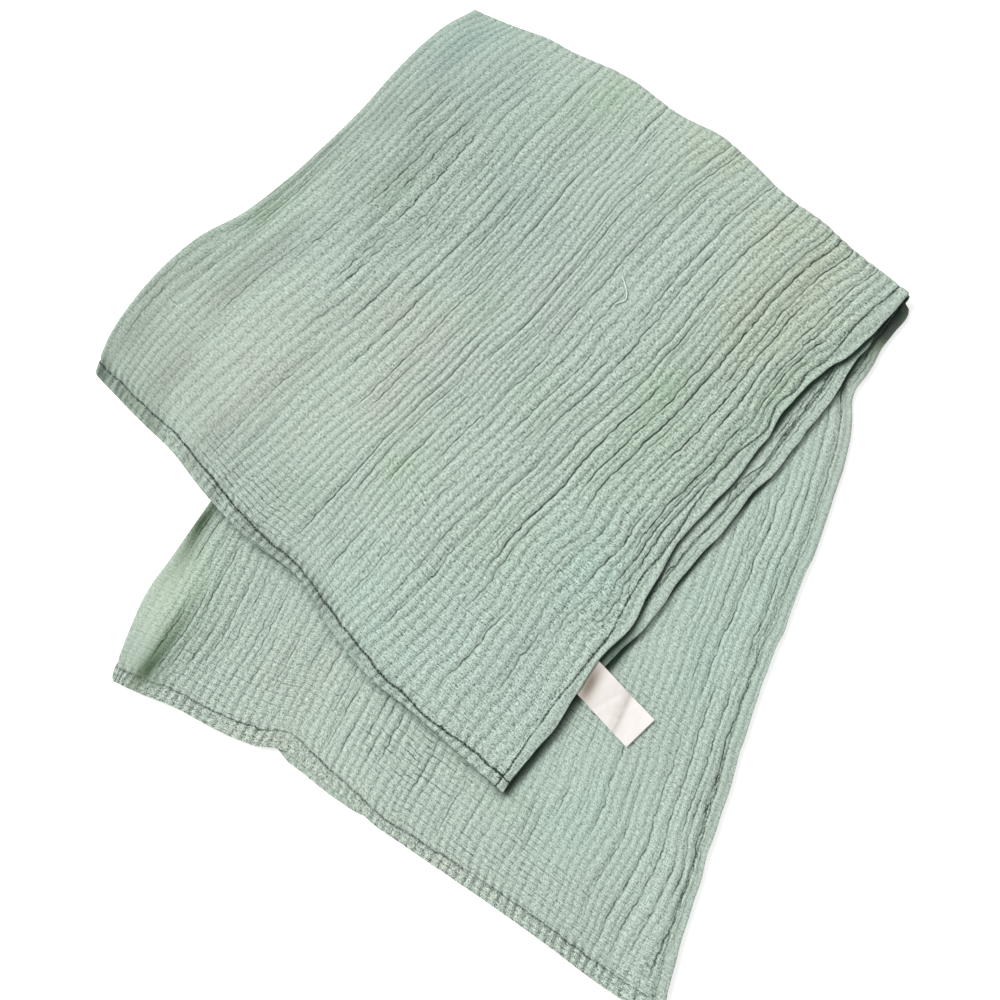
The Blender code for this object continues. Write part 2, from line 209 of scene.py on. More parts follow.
TOP_CREASES = tuple(Crease(*row) for row in (
    (.012, .1, .2, 1), (.042, .07, .28, 1), (.02, .35, .68, 3, .0045), (.041, .42, .62, 4, .0045),
    (.054, .56, .66, 2), (.05, .64, .8, 2), (.03, .68, .76, 2), (.008, .7, .86, 1.5), (.022, .76, .93, 2),
    (.062, .34, .46, 1.5), (.079, .36, .5, 2), (.08, .7, .8, 1), (.096, .15, .33, 2), (.1, .35, .5, 1),
    (.121, .17, .33, 3), (.131, .58, .78, 2.5), (.147, .47, .63, 3), (.15, .18, .33, 2.5),
    (.146, .68, .86, 1.5), (.161, .28, .49, 4, .004), (.172, .02, .11, 2), (.167, .11, .18, 2),
    (.178, .19, .45, 3), (.189, .19, .32, 2), (.187, .4, .53, 2.5), (.198, .04, .2, 2),
    (.205, .22, .48, 3.5), (.21, .48, .62, 3), (.216, .09, .22, 2), (.228, .33, .46, 3),
    (.221, .49, .64, 3), (.246, .24, .53, 2.5), (.24, .54, .72, 2), (.275, 0, .28, 2), (.27, .28, .4, 2),
    (.276, .37, .48, 2), (.267, .48, .66, 3), (.274, .68, .97, 2), (.3, .02, .18, 2), (.302, .26, .56, 3),
    (.308, .82, .95, 2), (.325, .09, .22, 2), (.329, .27, .5, 3), (.325, .5, .72, 3), (.345, .57, .68, 2),
    (.354, .04, .22, 2), (.353, .25, .51, 2.5), (.368, .34, .52, 2.5), (.385, .03, .11, 2),
    (.39, .19, .75, 3.5), (.41, .09, .21, 2), (.43, 0, .1, 3), (.451, .02, .17, 2.5), (.46, .17, .28, 2),
    (.421, .25, .52, 2), (.43, .52, .61, 2.5), (.411, .61, .74, 3), (.448, .6, .76, 2),
    (.456, .44, .52, 2), (.465, .5, .66, 2.5), (.486, .52, .74, 3), (.49, .72, .96, 4),
    (.503, .08, .46, 3), (.526, .17, .57, 3.5), (.512, .6, .74, 3), (.516, .73, .86, 3),
    (.535, .02, .12, 2), (.55, .45, .56, 2), (.551, .61, .69, 2.5), (.56, .69, .81, 4),
    (.575, 0, .09, 2.5), (.56, .09, .52, 2.5), (.598, 0, .48, 3), (.612, .46, .61, 3), (.605, .61, .73, 3),
    (.533, .79, .86, 2), (.587, .86, .96, 3.5), (.551, .89, .95, 2), (.628, .07, .29, 2.5),
    (.636, .29, .57, 2.5), (.627, .59, .76, 2), (.655, .32, .42, 2), (.662, .4, .62, 3),
    (.655, .69, .81, 2), (.651, .83, .96, 2), (.621, .84, .94, 2), (.685, 0, .35, 3),
    (.686, .37, .62, 2.5), (.704, .12, .58, 3.5), (.712, .64, .73, 2), (.704, .72, .96, 2),
    (.745, 0, .38, 3.5), (.738, .38, .57, 2.5), (.731, .57, .96, 2.5), (.774, 0, .1, 2),
    (.769, .2, .36, 2.5), (.76, .24, .62, 3.5), (.77, .61, .76, 2), (.791, .38, .78, 4, .0024),
    (.806, .43, .52, 2), (.806, .64, .86, 2.5), (.826, 0, .26, 3), (.823, .26, .62, 3.5, .0024),
    (.846, 0, .62, 4, .0022), (.86, .78, .96, 3), (.875, 0, .34, 3, .0022), (.858, .34, .56, 2.5),
    (.893, .11, .52, 4, .0022), (.889, .54, .66, 2), (.88, .64, .8, 2), (.93, 0, .21, 3, .0022),
    (.916, .21, .41, 3.5, .002), (.907, .41, .52, 2), (.927, .54, .72, 3, .0022),
    (.944, .03, .29, 3, .0022), (.956, .14, .34, 3.5, .002), (.947, .34, .62, 4, .002),
    (.957, .44, .68, 3, .002), (.967, .18, .34, 2.5, .002), (.968, .45, .75, 3, .002), (.921, .79, .91, 3),
    (.938, .71, .83, 2),
))
LOW_CREASES = tuple(Crease(*row) for row in (
    (.984, .04, .13, 3, .002), (.992, .08, .16, 3, .0018), (.975, .14, .21, 4, .0022), (.978, .3, .6, 2.5),
    (.975, .57, .76, 4), (.966, .74, .88, 3), (.981, .72, .97, 4), (.989, .77, .94, 2),
    (.957, .44, .59, 3), (.968, .49, .58, 2), (.949, .2, .49, 2), (.934, .32, .52, 2), (.909, .32, .66, 3),
    (.896, .35, .48, 2.5), (.884, .38, .66, 2), (.86, .39, .66, 1.5), (.846, .47, .62, 1.5),
    (.954, .6, .82, 3), (.951, .82, .97, 2.5), (.928, .62, .97, 3), (.902, .7, .97, 2.5),
    (.861, .77, .96, 2), (.845, .77, .84, 1.5), (.814, .74, .88, 2.5), (.787, .79, .87, 1.5),
    (.757, .81, .89, 2), (.763, .74, .81, 1.5), (.727, .74, .85, 1.5), (.722, .86, .95, 2),
    (.737, .87, .94, 2), (.367, .86, .94, 2), (.386, .86, .97, 3), (.41, .88, .98, 2),
    (.436, .86, .95, 2.5), (.452, .87, .96, 2.5), (.472, .87, .95, 3), (.487, .88, .93, 2),
    (.54, .88, .96, 2.5), (.555, .89, .95, 2), (.606, .89, .98, 2), (.64, .89, .96, 1.5),
    (.017, .76, .85, 3), (.038, .77, .85, 2.5), (.065, .79, .86, 2), (.093, .79, .91, 2.5),
    (.061, .88, .97, 4, .005), (.081, .86, .98, 3), (.097, .89, .97, 3), (.118, .89, .96, 2.5),
    (.139, .81, .96, 2.5), (.16, .81, .96, 2), (.192, .83, .96, 2), (.205, .82, .93, 2.5),
    (.221, .85, .97, 2), (.257, .85, .94, 2), (.294, .85, .91, 2.5), (.304, .85, .91, 1.5),
    (.327, .86, .91, 2),
))
INNER_CREASES = tuple(Crease(*row) for row in (
    (.986, .06, .4, 3, .002), (.974, .1, .48, 3.5, .002), (.99, .42, .64, 2.5, .002),
    (.966, .2, .36, 2.5, .002), (.979, .52, .7, 3, .002),
))


class Spot(NamedTuple):
    """A soft-edged place on a flap, in shares across and along it, and how much it does."""

    across: float
    along: float
    width: float
    length: float
    amount: float

    def far(self, across: Array, along: Array) -> Array:
        """How far places are from the middle, squared, with the spot's own sizes as units."""
        return ((across - self.across) / self.width) ** 2 + ((along - self.along) / self.length) ** 2


# Where the crinkles leave the cloth smooth, then where the lines across them stand out.
LOW_CALM = (Spot(.01, .9, .045, .09, .9), Spot(.03, .96, .03, .035, .9))
TOP_CROSSED = (
    Spot(.39, .955, .11, .04, 3.2), Spot(.22, .95, .1, .04, 1.2), Spot(.72, .9, .14, .07, 1),
    Spot(.12, .9, .08, .06, 1),
)
LOW_CROSSED = (
    Spot(.5, .93, .17, .05, 1.8), Spot(.75, .95, .12, .04, 1), Spot(.72, .7, .12, .1, .8),
)

# How far each hem's stitching wanders from its edge: share along the edge, metres.
TOP_SIDE_STITCHING = (
    (0, .01), (.06, .015), (.13, .014), (.19, .007), (.21, .009), (.24, .005), (.29, .009), (.33, .004),
    (.36, .007), (.4, .012), (.46, .013), (.5, .01), (.55, .005), (.59, .006), (.63, .011), (.68, .012),
    (.73, .008), (.77, .005), (.83, .007), (.88, .009), (1, .007),
)
TOP_END_STITCHING = (
    (0, .011), (.385, .011), (.45, .008), (.55, .006), (.6, .008), (.7, .0095), (.8, .0055), (.85, .004),
    (.92, .008), (1, .008),
)
LOW_END_STITCHING = ((0, .0105), (.25, .012), (.31, .014), (.38, .01), (.7, .011), (1, .012))
LOW_SIDE_STITCHING = ((0, .01), (.3, .011), (.57, .012), (.8, .009), (1, .01))
INNER_SIDE_STITCHING = ((0, .009), (.25, .01), (.4, .008), (.6, .01), (.8, .008), (1, .009))


class TintAndShade(Enum):
    """Unevenness of the dye, and patches of painted shade, as what each adds to a base colour's red, green
    and blue, as shares; the grey lightening only makes the cloth paler.
    """

    GREEN = (-0.045, -0.012, -0.055)
    BEIGE = (0.035, -0.020, -0.015)
    TAN = (0.020, -0.015, -0.060)
    BLUE = (-0.025, -0.005, 0.035)
    VIOLET = (0.015, -0.030, 0.035)
    MINT = (-0.040, 0.005, 0.010)
    PALE = (0.060, 0.060, 0.050)
    # These three are painted shade: deep shade in the crosswise fold's open loop and in shaded folds at the
    # low flap's left corner, a milder even shade over broad patches, and dark olive shade at the very edge
    # of the loop's open end.
    PAINTED_DEEP_SHADE = (-0.330, -0.315, -0.335)
    PAINTED_SHADE = (-0.100, -0.100, -0.100)
    PAINTED_OLIVE_SHADE = (-0.390, -0.400, -0.430)


class Shade(NamedTuple):
    """How dark the cloth looks in the narrow gap beside a layer that lies on it.

    widths gives how wide the gap is: share along the edge of that layer, metres.
    """

    darkness: float
    widths: tuple[tuple[float, float], ...]


OUTER_GAP = Shade(.96, (
    (0, .004), (.17, .0046), (.3, .0044), (.42, .0024), (.57, .0022), (.66, .003), (.72, .008),
    (.78, .008), (.83, .0062), (.91, .0056), (1, .0036),
))
INNER_GAP = Shade(.95, (
    (0, .004), (.1, .0028), (.55, .0025), (.72, .003), (.78, .0064), (.9, .0058), (1, .0036),
))
END_GAP = Shade(.42, ((0, .0018), (1, .0022)))
SHADE_TINT = (1.000, 0.955, 0.985)  # how fully a shade takes away red, green and blue
SHADE_FALL = 2.4  # how sharply a shade ends at its width
SPOT_FALL = 0.7  # how fast a spot dies away from its middle
DARKEST_TONE = 0.12

# The dye's soft patches of each tint, and soft patches of painted shade, the numbers of one spot in each
# row.
TOP_TINT_AND_SHADE_PATCHES = {
    TintAndShade.PAINTED_SHADE: (
        (.06, .8, .16, .4, 1.9), (.02, .15, .12, .3, 1), (.31, .93, .14, .07, .9), (.24, .22, .22, .2, .5),
        (.3, .46, .13, .13, .5), (0, .995, .05, .02, 3.6), (.12, .992, .12, .014, 1.7),
        (.57, .994, .2, .016, 2.8),
    ),
    TintAndShade.GREEN: (
        (.08, .99, .16, .018, .6), (.34, .04, .05, .05, 1.2), (.57, .13, .04, .05, .8),
        (.85, .48, .07, .08, 1.4), (.78, .38, .05, .04, 1.1), (.18, .42, .03, .04, .9),
        (.03, .56, .04, .1, 1.1), (.65, .54, .035, .04, 1), (.57, .77, .05, .04, 1),
        (.44, .48, .03, .04, .9), (.78, .73, .05, .05, .8), (.44, .89, .035, .04, .6),
        (.97, .3, .03, .12, 1.2), (.28, .14, .04, .05, .5),
    ),
    TintAndShade.BEIGE: ((.23, .8, .13, .15, .7), (.36, .57, .08, .06, 1), (.45, .7, .08, .06, .8)),
    TintAndShade.TAN: (
        (.09, .83, .07, .07, .7), (.86, .16, .08, .11, 1.1), (.8, .05, .08, .06, 1),
        (.55, .02, .07, .04, 1),
    ),
    TintAndShade.BLUE: ((.12, .12, .11, .09, .8), (.35, .3, .08, .09, .7), (.86, .87, .12, .08, .9)),
    TintAndShade.MINT: ((.92, .66, .08, .08, 1.1), (.7, .94, .09, .06, .8), (.05, .05, .07, .06, 1)),
    TintAndShade.VIOLET: (
        (.47, .38, .07, .07, .6), (.6, .43, .09, .05, .5), (.58, .22, .07, .06, .4),
        (.55, .58, .08, .04, .5),
    ),
}
LOW_TINT_AND_SHADE_PATCHES = {
    TintAndShade.TAN: ((.02, .88, .03, .06, .8),),
    TintAndShade.GREEN: ((.08, .95, .035, .04, .7), (.05, .86, .05, .06, 1.2), (.65, .88, .1, .02, .8)),
    TintAndShade.PAINTED_DEEP_SHADE: (
        (.066, .94, .012, .045, .95), (.076, .98, .022, .018, 1.1), (.085, .94, .022, .035, .35),
        (.003, .8, .014, .024, 1.7), (.019, .836, .009, .028, 1.1), (.01, .8, .02, .05, .3),
        (.985, .01, .045, .03, 2.5), (.976, .045, .026, .03, 2.4), (.968, .08, .014, .028, 2.1),
        (.978, .13, .007, .026, 1.6), (.978, .17, .008, .016, 1.7),
    ),
    TintAndShade.PAINTED_SHADE: ((.01, .97, .03, .03, 1.3), (.1, .9, .12, .12, .7)),
    TintAndShade.BEIGE: ((.45, .992, .35, .012, .9), (.3, .92, .12, .05, .5), (.985, .24, .02, .05, 1)),
    TintAndShade.PALE: ((.55, .8, .16, .1, .9), (.025, .915, .016, .05, 1.2)),
    TintAndShade.PAINTED_OLIVE_SHADE: ((.996, .06, .01, .022, .9), (.996, .09, .012, .026, .8), (.997, .13, .012, .03, .4)),
    TintAndShade.MINT: ((.9, .4, .1, .12, .8), (.9, .62, .1, .1, .9), (.78, .84, .1, .06, .9)),
    TintAndShade.VIOLET: ((.6, .84, .1, .04, .5),),
}

HEM_WIDTH = 0.011
SIDE_HEM_RADIUS = 0.0005
END_HEM_RADIUS = 0.0006
CORNER_ROUNDING = 0.0006  # how much larger the end hem's radius is where the side hem is folded into it
CORNER_RUN = 0.004
TROUGH_PER_STRENGTH = 0.00034
SHARP_WIDTH = 0.0023  # creases this narrow or less show as sharp lines of painted shade
FULL_STRENGTH = 3.4  # a crease this strong shows as a full line of painted shade
CALM_BESIDE = 0.0034  # the fine ribs die away this close to a strong crease
LONGEST_FADE = 0.035  # over which a crease starts and ends
FADE_BEYOND = 0.3  # the share of it that lies past the crease's ends
PAST_FOLD = 0.03  # how far a crease goes on round the crosswise fold that it starts at
DEEPEST_TROUGH = 0.0020


# ---------------------------------------------------------------- small curves
def ease(t: Array) -> Array:
    """A smooth step from 0 to 1."""
    t = np.clip(t, 0.0, 1.0)
    return t * t * (3 - 2 * t)


def read_between(places: Array, at: Array, values: Array, slopes: Array, *entry: Array) -> Array:
    """Read smooth curves between the places where their values and slopes are known.

    Args:
        places: where they are known, rising.
        at: where to read them.
        values: the value at each place, or a row of them.
        slopes: the slopes there.
        entry: which entry of the rows to read, if they are rows.

    Returns:
        The value at each point.
    """
    span = np.clip(np.searchsorted(places, at, side="right") - 1, 0, len(places) - 2)
    width = places[span + 1] - places[span]
    t = np.clip((at - places[span]) / width, 0.0, 1.0)
    start, end = (span, *entry), (span + 1, *entry)
    from_start = (2 * t**3 - 3 * t**2 + 1) * values[start] + (t**3 - 2 * t**2 + t) * width * slopes[start]
    return from_start + (3 * t**2 - 2 * t**3) * values[end] + (t**3 - t**2) * width * slopes[end]


def smooth_through(table: Sequence[tuple[float, float]], at: Array) -> Array:
    """Read a smooth curve that goes through a table's rows.

    Args:
        table: rows of a place and the value there, places rising.
        at: the places to read it at.

    Returns:
        The curve's value at each place.
    """
    places, values = np.array(table, dtype=float).T
    return read_between(places, at, values, np.gradient(values, places))


def smooth_over(rows: Sequence[tuple[float, Sequence[float]]], stops: Sequence[float], down: Array,
                over: Array) -> Array:
    """Read a smooth surface that goes through a table of rows.

    Args:
        rows: each row's place, and its values at the stops.
        stops: where the values of each row stand.
        down: places among the rows.
        over: places among the stops.

    Returns:
        The surface's value at each pair of places.
    """
    places = np.array([place for place, _ in rows])
    lines = np.array([smooth_through(list(zip(stops, values)), over) for _, values in rows])
    return read_between(places, down, lines, np.gradient(lines, places, axis=0), np.arange(len(down)))


@dataclass(frozen=True)
class Ripple:
    """Smooth seeded noise from -1 to 1, with its own pitch across and along the cloth."""

    seed: int
    across: float
    along: float

    def at(self, x: Array, y: Array) -> Array:
        """Read the noise.

        Args:
            x: metres across the cloth.
            y: metres along it.

        Returns:
            The noise at each point.
        """
        size = 128
        lattice = np.random.default_rng(self.seed).uniform(-1.0, 1.0, (size, size))
        column, row = x / self.across, y / self.along
        i, j = np.floor(column).astype(int), np.floor(row).astype(int)
        s, t = ease(column - i), ease(row - j)
        near = lattice[i % size, j % size] * (1 - s) + lattice[(i + 1) % size, j % size] * s
        far = lattice[i % size, (j + 1) % size] * (1 - s) + lattice[(i + 1) % size, (j + 1) % size] * s
        return near * (1 - t) + far * t


def mixed(ripples: Sequence[tuple[float, Ripple]], x: Array, y: Array) -> Array:
    """Ripples added up, each with its own size."""
    return sum(size * ripple.at(x, y) for size, ripple in ripples)


PATCH_RIPPLES = ((0.5, Ripple(501, 0.018, 0.055)), (0.4, Ripple(502, 0.009, 0.040)))
MEAN_SINE = 0.64  # about the mean of a sine's absolute value


# ---------------------------------------------------------------- outlines
@dataclass(frozen=True)
class Edge:
    """One edge of a flap, bowed by its table. side is 1 where the outside lies to its left."""

    start: tuple[float, float]
    end: tuple[float, float]
    side: int
    bows: Sequence[tuple[float, float]]
    tuck: float = 0.0

    @property
    def length(self) -> float:
        """Straight distance from corner to corner."""
        return math.dist(self.start, self.end)

    @property
    def direction(self) -> Array:
        """Unit vector from start to end."""
        return (np.array(self.end) - np.array(self.start)) / self.length

    @property
    def outward(self) -> Array:
        """Unit vector out of the flap."""
        return self.side * np.array([-self.direction[1], self.direction[0]])

    def out(self, share: Array) -> Array:
        """How far the edge stands out, drawn in along its middle by the tuck."""
        tucked = ease(share / TUCK_RUN) * ease((1 - share) / TUCK_RUN)
        return smooth_through(self.bows, share) - self.tuck * tucked

    def at(self, share: Array) -> Array:
        """Points on the edge, in plan."""
        along = (share * self.length)[:, None] * self.direction
        return np.array(self.start) + along + self.out(share)[:, None] * self.outward

    def beside(self, points: Array) -> Array:
        """How far along the edge each point lies, as a share from 0 to 1."""
        return np.clip((points - np.array(self.start)) @ self.direction / self.length, 0.0, 1.0)

    def depth(self, points: Array) -> Array:
        """How far inside the edge each point lies."""
        out = (points - np.array(self.start)) @ self.outward
        return smooth_through(self.bows, self.beside(points)) - out


@dataclass(frozen=True)
class Flap:
    """A four-sided patch of cloth: across runs from the folded left edge, along from the crosswise fold."""

    fold: Edge
    hem: Edge
    left: Edge
    right: Edge

    def at(self, across: Array, along: Array) -> Array:
        """Points in plan, blended from the four edges.

        Args:
            across: shares of the way from the left edge to the right one.
            along: shares of the way from the fold to the hem.

        Returns:
            The points, two numbers each.
        """
        one, zero = np.ones_like(across), np.zeros_like(across)
        u, v = across[:, None], along[:, None]
        sides = (1 - u) * self.left.at(along) + u * self.right.at(along)
        ends = (1 - v) * self.fold.at(across) + v * self.hem.at(across)
        near = (1 - u) * self.fold.at(zero) + u * self.fold.at(one)
        far = (1 - u) * self.hem.at(zero) + u * self.hem.at(one)
        return sides + ends - (1 - v) * near - v * far


FOLD = Edge(FOLD_LEFT, FOLD_RIGHT, 1, FOLD_BOWS)
TOP_LEFT = Edge(FOLD_LEFT, TOP_HEM_LEFT, -1, TOP_LEFT_BOWS)
TOP_HEM = Edge(TOP_HEM_LEFT, TOP_HEM_RIGHT, -1, TOP_HEM_BOWS)
TOP_OUTER_RIGHT = Edge(FOLD_RIGHT, TOP_HEM_RIGHT, 1, TOP_OUTER_RIGHT_BOWS)
TOP_INNER_RIGHT = Edge(FOLD_RIGHT, TOP_HEM_RIGHT, 1, TOP_INNER_RIGHT_BOWS)
LOW_LEFT = Edge(FOLD_LEFT, LOW_HEM_LEFT, -1, LOW_LEFT_BOWS)
LOW_HEM = Edge(LOW_HEM_LEFT, LOW_HEM_RIGHT, -1, LOW_HEM_BOWS)
LOW_INNER_RIGHT = Edge(FOLD_RIGHT, LOW_HEM_RIGHT, 1, LOW_INNER_RIGHT_BOWS)
LOW_OUTER_RIGHT = Edge(FOLD_RIGHT, LOW_HEM_RIGHT, 1, LOW_INNER_RIGHT_BOWS, LOW_OUTER_TUCK)

TOP_OUTER = Flap(FOLD, TOP_HEM, TOP_LEFT, TOP_OUTER_RIGHT)
TOP_INNER = Flap(FOLD, TOP_HEM, TOP_LEFT, TOP_INNER_RIGHT)
LOW_INNER = Flap(FOLD, LOW_HEM, LOW_LEFT, LOW_INNER_RIGHT)
LOW_OUTER = Flap(FOLD, LOW_HEM, LOW_LEFT, LOW_OUTER_RIGHT)


def loft(depth: Array, height: float, reach: float) -> Array:
    """Swelling that is full at an edge and dies away inwards."""
    return height * np.exp(-np.maximum(depth, 0.0) / reach)


def half_gap(left: Edge, plan: Array) -> Array:
    """Half the distance between the two layers that are joined at this left edge."""
    return SPACING / 2 + loft(left.depth(plan), TURN_LOFT, TURN_LOFT_REACH)


def ridge_heights(ridges: Sequence[Ridge], across: Array, along: Array, width: float,
                  length: float) -> Array:
    """Height that the broad ridges add.

    Args:
        ridges: the flap's ridges.
        across: shares across the flap.
        along: shares along it.
        width: the flap's width, m.
        length: its length, m.

    Returns:
        The height at each point, m.
    """
    total = np.zeros_like(across)
    for ridge in ridges:
        way = (along - ridge.along_start) / (ridge.along_end - ridge.along_start)
        middle = ridge.across_start + np.clip(way, 0.0, 1.0) * (ridge.across_end - ridge.across_start)
        past_end = np.maximum(np.maximum(-way, way - 1.0), 0.0) * (ridge.along_end - ridge.along_start)
        aside = (across - middle) * width / (ridge.width / 2)
        beyond = past_end * length / (ridge.width / 2)
        total += ridge.height * np.exp(-(aside**2) - beyond**2 / 2)
    return total


# ---------------------------------------------------------------- crinkles, creases and hems
@dataclass(frozen=True)
class Crinkles:
    """The gauze's own fine crinkles, over the whole cloth: rounded ribs with narrow valleys between."""

    top_pitch: float = 0.0086
    low_pitch: float = 0.0074
    pitch_run: float = 0.25
    height: float = 0.00080
    grouping: float = 0.00040
    notching: float = 0.00016
    wander: tuple[tuple[float, Ripple], ...] = (
        (0.45, Ripple(101, 0.050, 0.130)), (0.22, Ripple(102, 0.018, 0.050)),
        (0.08, Ripple(103, 0.009, 0.013)),
    )  # of the ribs, in ribs
    highs: Ripple = Ripple(104, 0.014, 0.050)
    groups: Ripple = Ripple(105, 0.015, 0.090)
    notches: Ripple = Ripple(106, 0.005, 0.009)
    waver: tuple[tuple[float, Ripple], ...] = (
        (1.0, Ripple(107, 0.060, 0.024)), (0.45, Ripple(108, 0.030, 0.012)),
    )  # of the cloth's lines, as shares of the two below
    middle_waver: float = 0.0005  # m
    side_waver: float = 0.0011  # m, what the side hems have beyond it
    held_run: float = 0.030  # m, beside the lengthwise fold, which holds the lines still

    def ribs(self, x: Array, y: Array) -> Array:
        """Count the ribs.

        Args:
            x: metres across the cloth, in the crinkles' own lines.
            y: metres along it.

        Returns:
            How many ribs lie between each point and the side hem, a whole number in each valley.
        """
        top, low = 1 / self.top_pitch, 1 / self.low_pitch
        per_metre = top + (low - top) * ease(-y / self.pitch_run)
        return (FLAP_WIDTH - np.abs(x)) * per_metre + mixed(self.wander, x, y)

    def wobble(self, x: Array, y: Array) -> Array:
        """How far the lines of the cloth waver sideways, m, most towards the side hems."""
        amount = self.middle_waver + self.side_waver * ease((np.abs(x) / FLAP_WIDTH - 0.45) / 0.45)
        return ease(np.abs(x) / self.held_run) * amount * mixed(self.waver, x, y)

    def rise(self, x: Array, y: Array, ribs: Array) -> Array:
        """Rise of the crinkles at full strength.

        Args:
            x: metres across the cloth, in the crinkles' own lines.
            y: metres along it.
            ribs: the count of ribs there.

        Returns:
            The rise at each point, about zero on average, m.
        """
        high = 0.65 + 0.35 * self.highs.at(x, y)
        group = np.abs(self.groups.at(x, y)) - 0.38
        rib = self.height * high * (np.abs(np.sin(PI * ribs)) - MEAN_SINE)
        return rib + self.grouping * group + self.notching * self.notches.at(x, y)


class Rise(NamedTuple):
    """How far the cloth's face rises at each point, m, and the pinched line that it is nearest to.

    aside is the signed distance from that line, m, and shown how dark it is there, 0 to 1.
    """

    height: Array
    aside: Array
    shown: Array


LINE_REACH = 0.0032  # how far from a pinched line its distance is still kept


def kept(aside: Array) -> Array:
    """How much a pinched line still counts at a distance from it, 0 to 1."""
    return np.clip(1.3 * (1 - np.abs(aside) / LINE_REACH), 0.0, 1.0)


@dataclass(frozen=True)
class Hem:
    """A turned and stitched hem's face: a padded strip, the line its stitching sinks, and its puckers."""

    stitching: tuple[tuple[float, float], ...]
    seed: int
    darkness: float = 0.7
    depth: float = 0.00095
    pucker: float = 0.00080
    pitch: float = 0.0070
    padding: float = 0.00055
    waver: float = 0.0007
    sunk_run: float = 0.0010
    pucker_run: float = 0.0060

    def line(self, beside: Array, share: Array) -> Array:
        """Distance of the stitching from the edge, m."""
        aside = self.waver * Ripple(self.seed, 0.0085, 1.0).at(beside, 0 * beside)
        return smooth_through(self.stitching, share) + aside

    def rise(self, inside: Array, beside: Array, share: Array) -> Rise:
        """Shape the strip.

        Args:
            inside: distance from the edge, m.
            beside: distance along the edge, m.
            share: share of the way along the edge.

        Returns:
            Its rise.
        """
        aside = inside - self.line(beside, share)
        strip = self.padding * ease(0.5 - aside / 0.0020) * ease(inside / 0.0015 + 0.25)
        uneven = 0.70 + 0.30 * Ripple(self.seed + 1, 0.030, 1.0).at(beside, 0 * beside)
        lean = beside + 0.30 * np.abs(aside) + 0.002 * Ripple(self.seed + 2, 0.018, 0.015).at(beside, inside)
        pinch = np.abs(np.sin(PI * lean / self.pitch)) - MEAN_SINE
        near = np.exp(-((aside / self.pucker_run) ** 2))
        sunk = self.depth * uneven * np.exp(-((aside / self.sunk_run) ** 2))
        height = strip - sunk + 2 * self.pucker * pinch * near
        return Rise(height, aside, self.darkness * uneven * kept(aside))


@dataclass(frozen=True)
class Face:
    """One layer's face on its flap: its listed creases, its hems and how strongly it is crinkled."""

    length: float
    creases: tuple[Crease, ...]
    strength: tuple[tuple[float, tuple[float, ...]], ...]
    side: Hem
    end: Hem
    seed: int
    lumps: float = 0.7
    calm: tuple[Spot, ...] = ()

    def troughs(self, across: Array, along: Array) -> Rise:
        """The listed creases, with the cloth bunched up beside each.

        Args:
            across: shares across the flap, in the crinkles' own lines.
            along: shares along it.

        Returns:
            Their rise.
        """
        x, y = across * FLAP_WIDTH, along * self.length
        x = x + 0.0009 * Ripple(self.seed + 1, 0.040, 0.030).at(x, y)
        height, shown_best = np.zeros_like(across), np.zeros_like(across)
        aside_best = np.full_like(across, LINE_REACH)
        for crease in self.creases:
            near = np.abs(x - crease.across * FLAP_WIDTH) < 6 * crease.width
            start, end = crease.start * self.length, crease.end * self.length
            fade = min(0.40 * (end - start), LONGEST_FADE)
            start -= PAST_FOLD if crease.start == 0 else FADE_BEYOND * fade
            end += FADE_BEYOND * fade
            near = np.flatnonzero(near & (y > start) & (y < end))
            aside = x[near] - crease.across * FLAP_WIDTH
            far = np.sqrt(aside**2 + 0.0004**2) / crease.width
            shown = ease((y[near] - start) / fade) * ease((end - y[near]) / fade)
            height[near] -= TROUGH_PER_STRENGTH * crease.strength * shown * (1 - 0.75 * far) * np.exp(-far)
            # Each crease also gets a line of painted shade, darkest where it is narrow and strong.
            sharp = np.clip(SHARP_WIDTH / crease.width, 0.55, 1.0)
            dark = kept(aside) * shown * sharp * crease.strength / FULL_STRENGTH
            nearer = (np.abs(aside) < np.abs(aside_best[near])) & (dark > 0)
            aside_best[near[nearer]], shown_best[near[nearer]] = aside[nearer], dark[nearer]
        return Rise(np.maximum(height, -DEEPEST_TROUGH), aside_best, shown_best)

    def rise(self, across: Array, drawn: Array, along: Array, crinkles: Array) -> tuple[Array, ...]:
        """The whole rise of the face.

        Args:
            across: shares across the flap, in plan.
            drawn: the same places in the crinkles' own lines.
            along: shares along the flap.
            crinkles: rise of the fine crinkles at full strength, m.

        Returns:
            The height, m, how strongly the cloth is crinkled, the distance aside of the nearest crease and
            how dark its line of painted shade is, and the same two for the nearest stitching.
        """
        from_side, from_end = (1 - across) * FLAP_WIDTH, (1 - along) * self.length
        side = self.side.rise(from_side, along * self.length, along)
        end = self.end.rise(from_end, across * FLAP_WIDTH, across)
        loose_side, loose_end = (ease(hem.aside / 0.004 + 0.5) for hem in (side, end))
        loose = 0.60 + 0.40 * loose_side * loose_end
        strength = smooth_over(self.strength, STRENGTH_STOPS, along, across)
        troughs = self.troughs(drawn, along)
        near_crease = np.exp(-((troughs.aside / CALM_BESIDE) ** 2))
        strength = strength * (1 - np.clip(1.4 * troughs.shown, 0.0, 0.75) * near_crease)
        for spot in self.calm:
            strength = strength * (1 - spot.amount * np.exp(-(spot.far(across, along) ** 2)))
        in_end = (1 - loose_end) * (0.4 + 0.6 * loose_side)
        strength = np.maximum(strength * loose, self.lumps * in_end)
        height = strength * crinkles + loose * troughs.height + side.height + end.height
        at_side = side.shown > end.shown
        seam_aside = np.where(at_side, side.aside, end.aside)
        seam_shown = np.where(at_side, side.shown, end.shown)
        return height, strength, troughs.aside, loose * troughs.shown, seam_aside, seam_shown


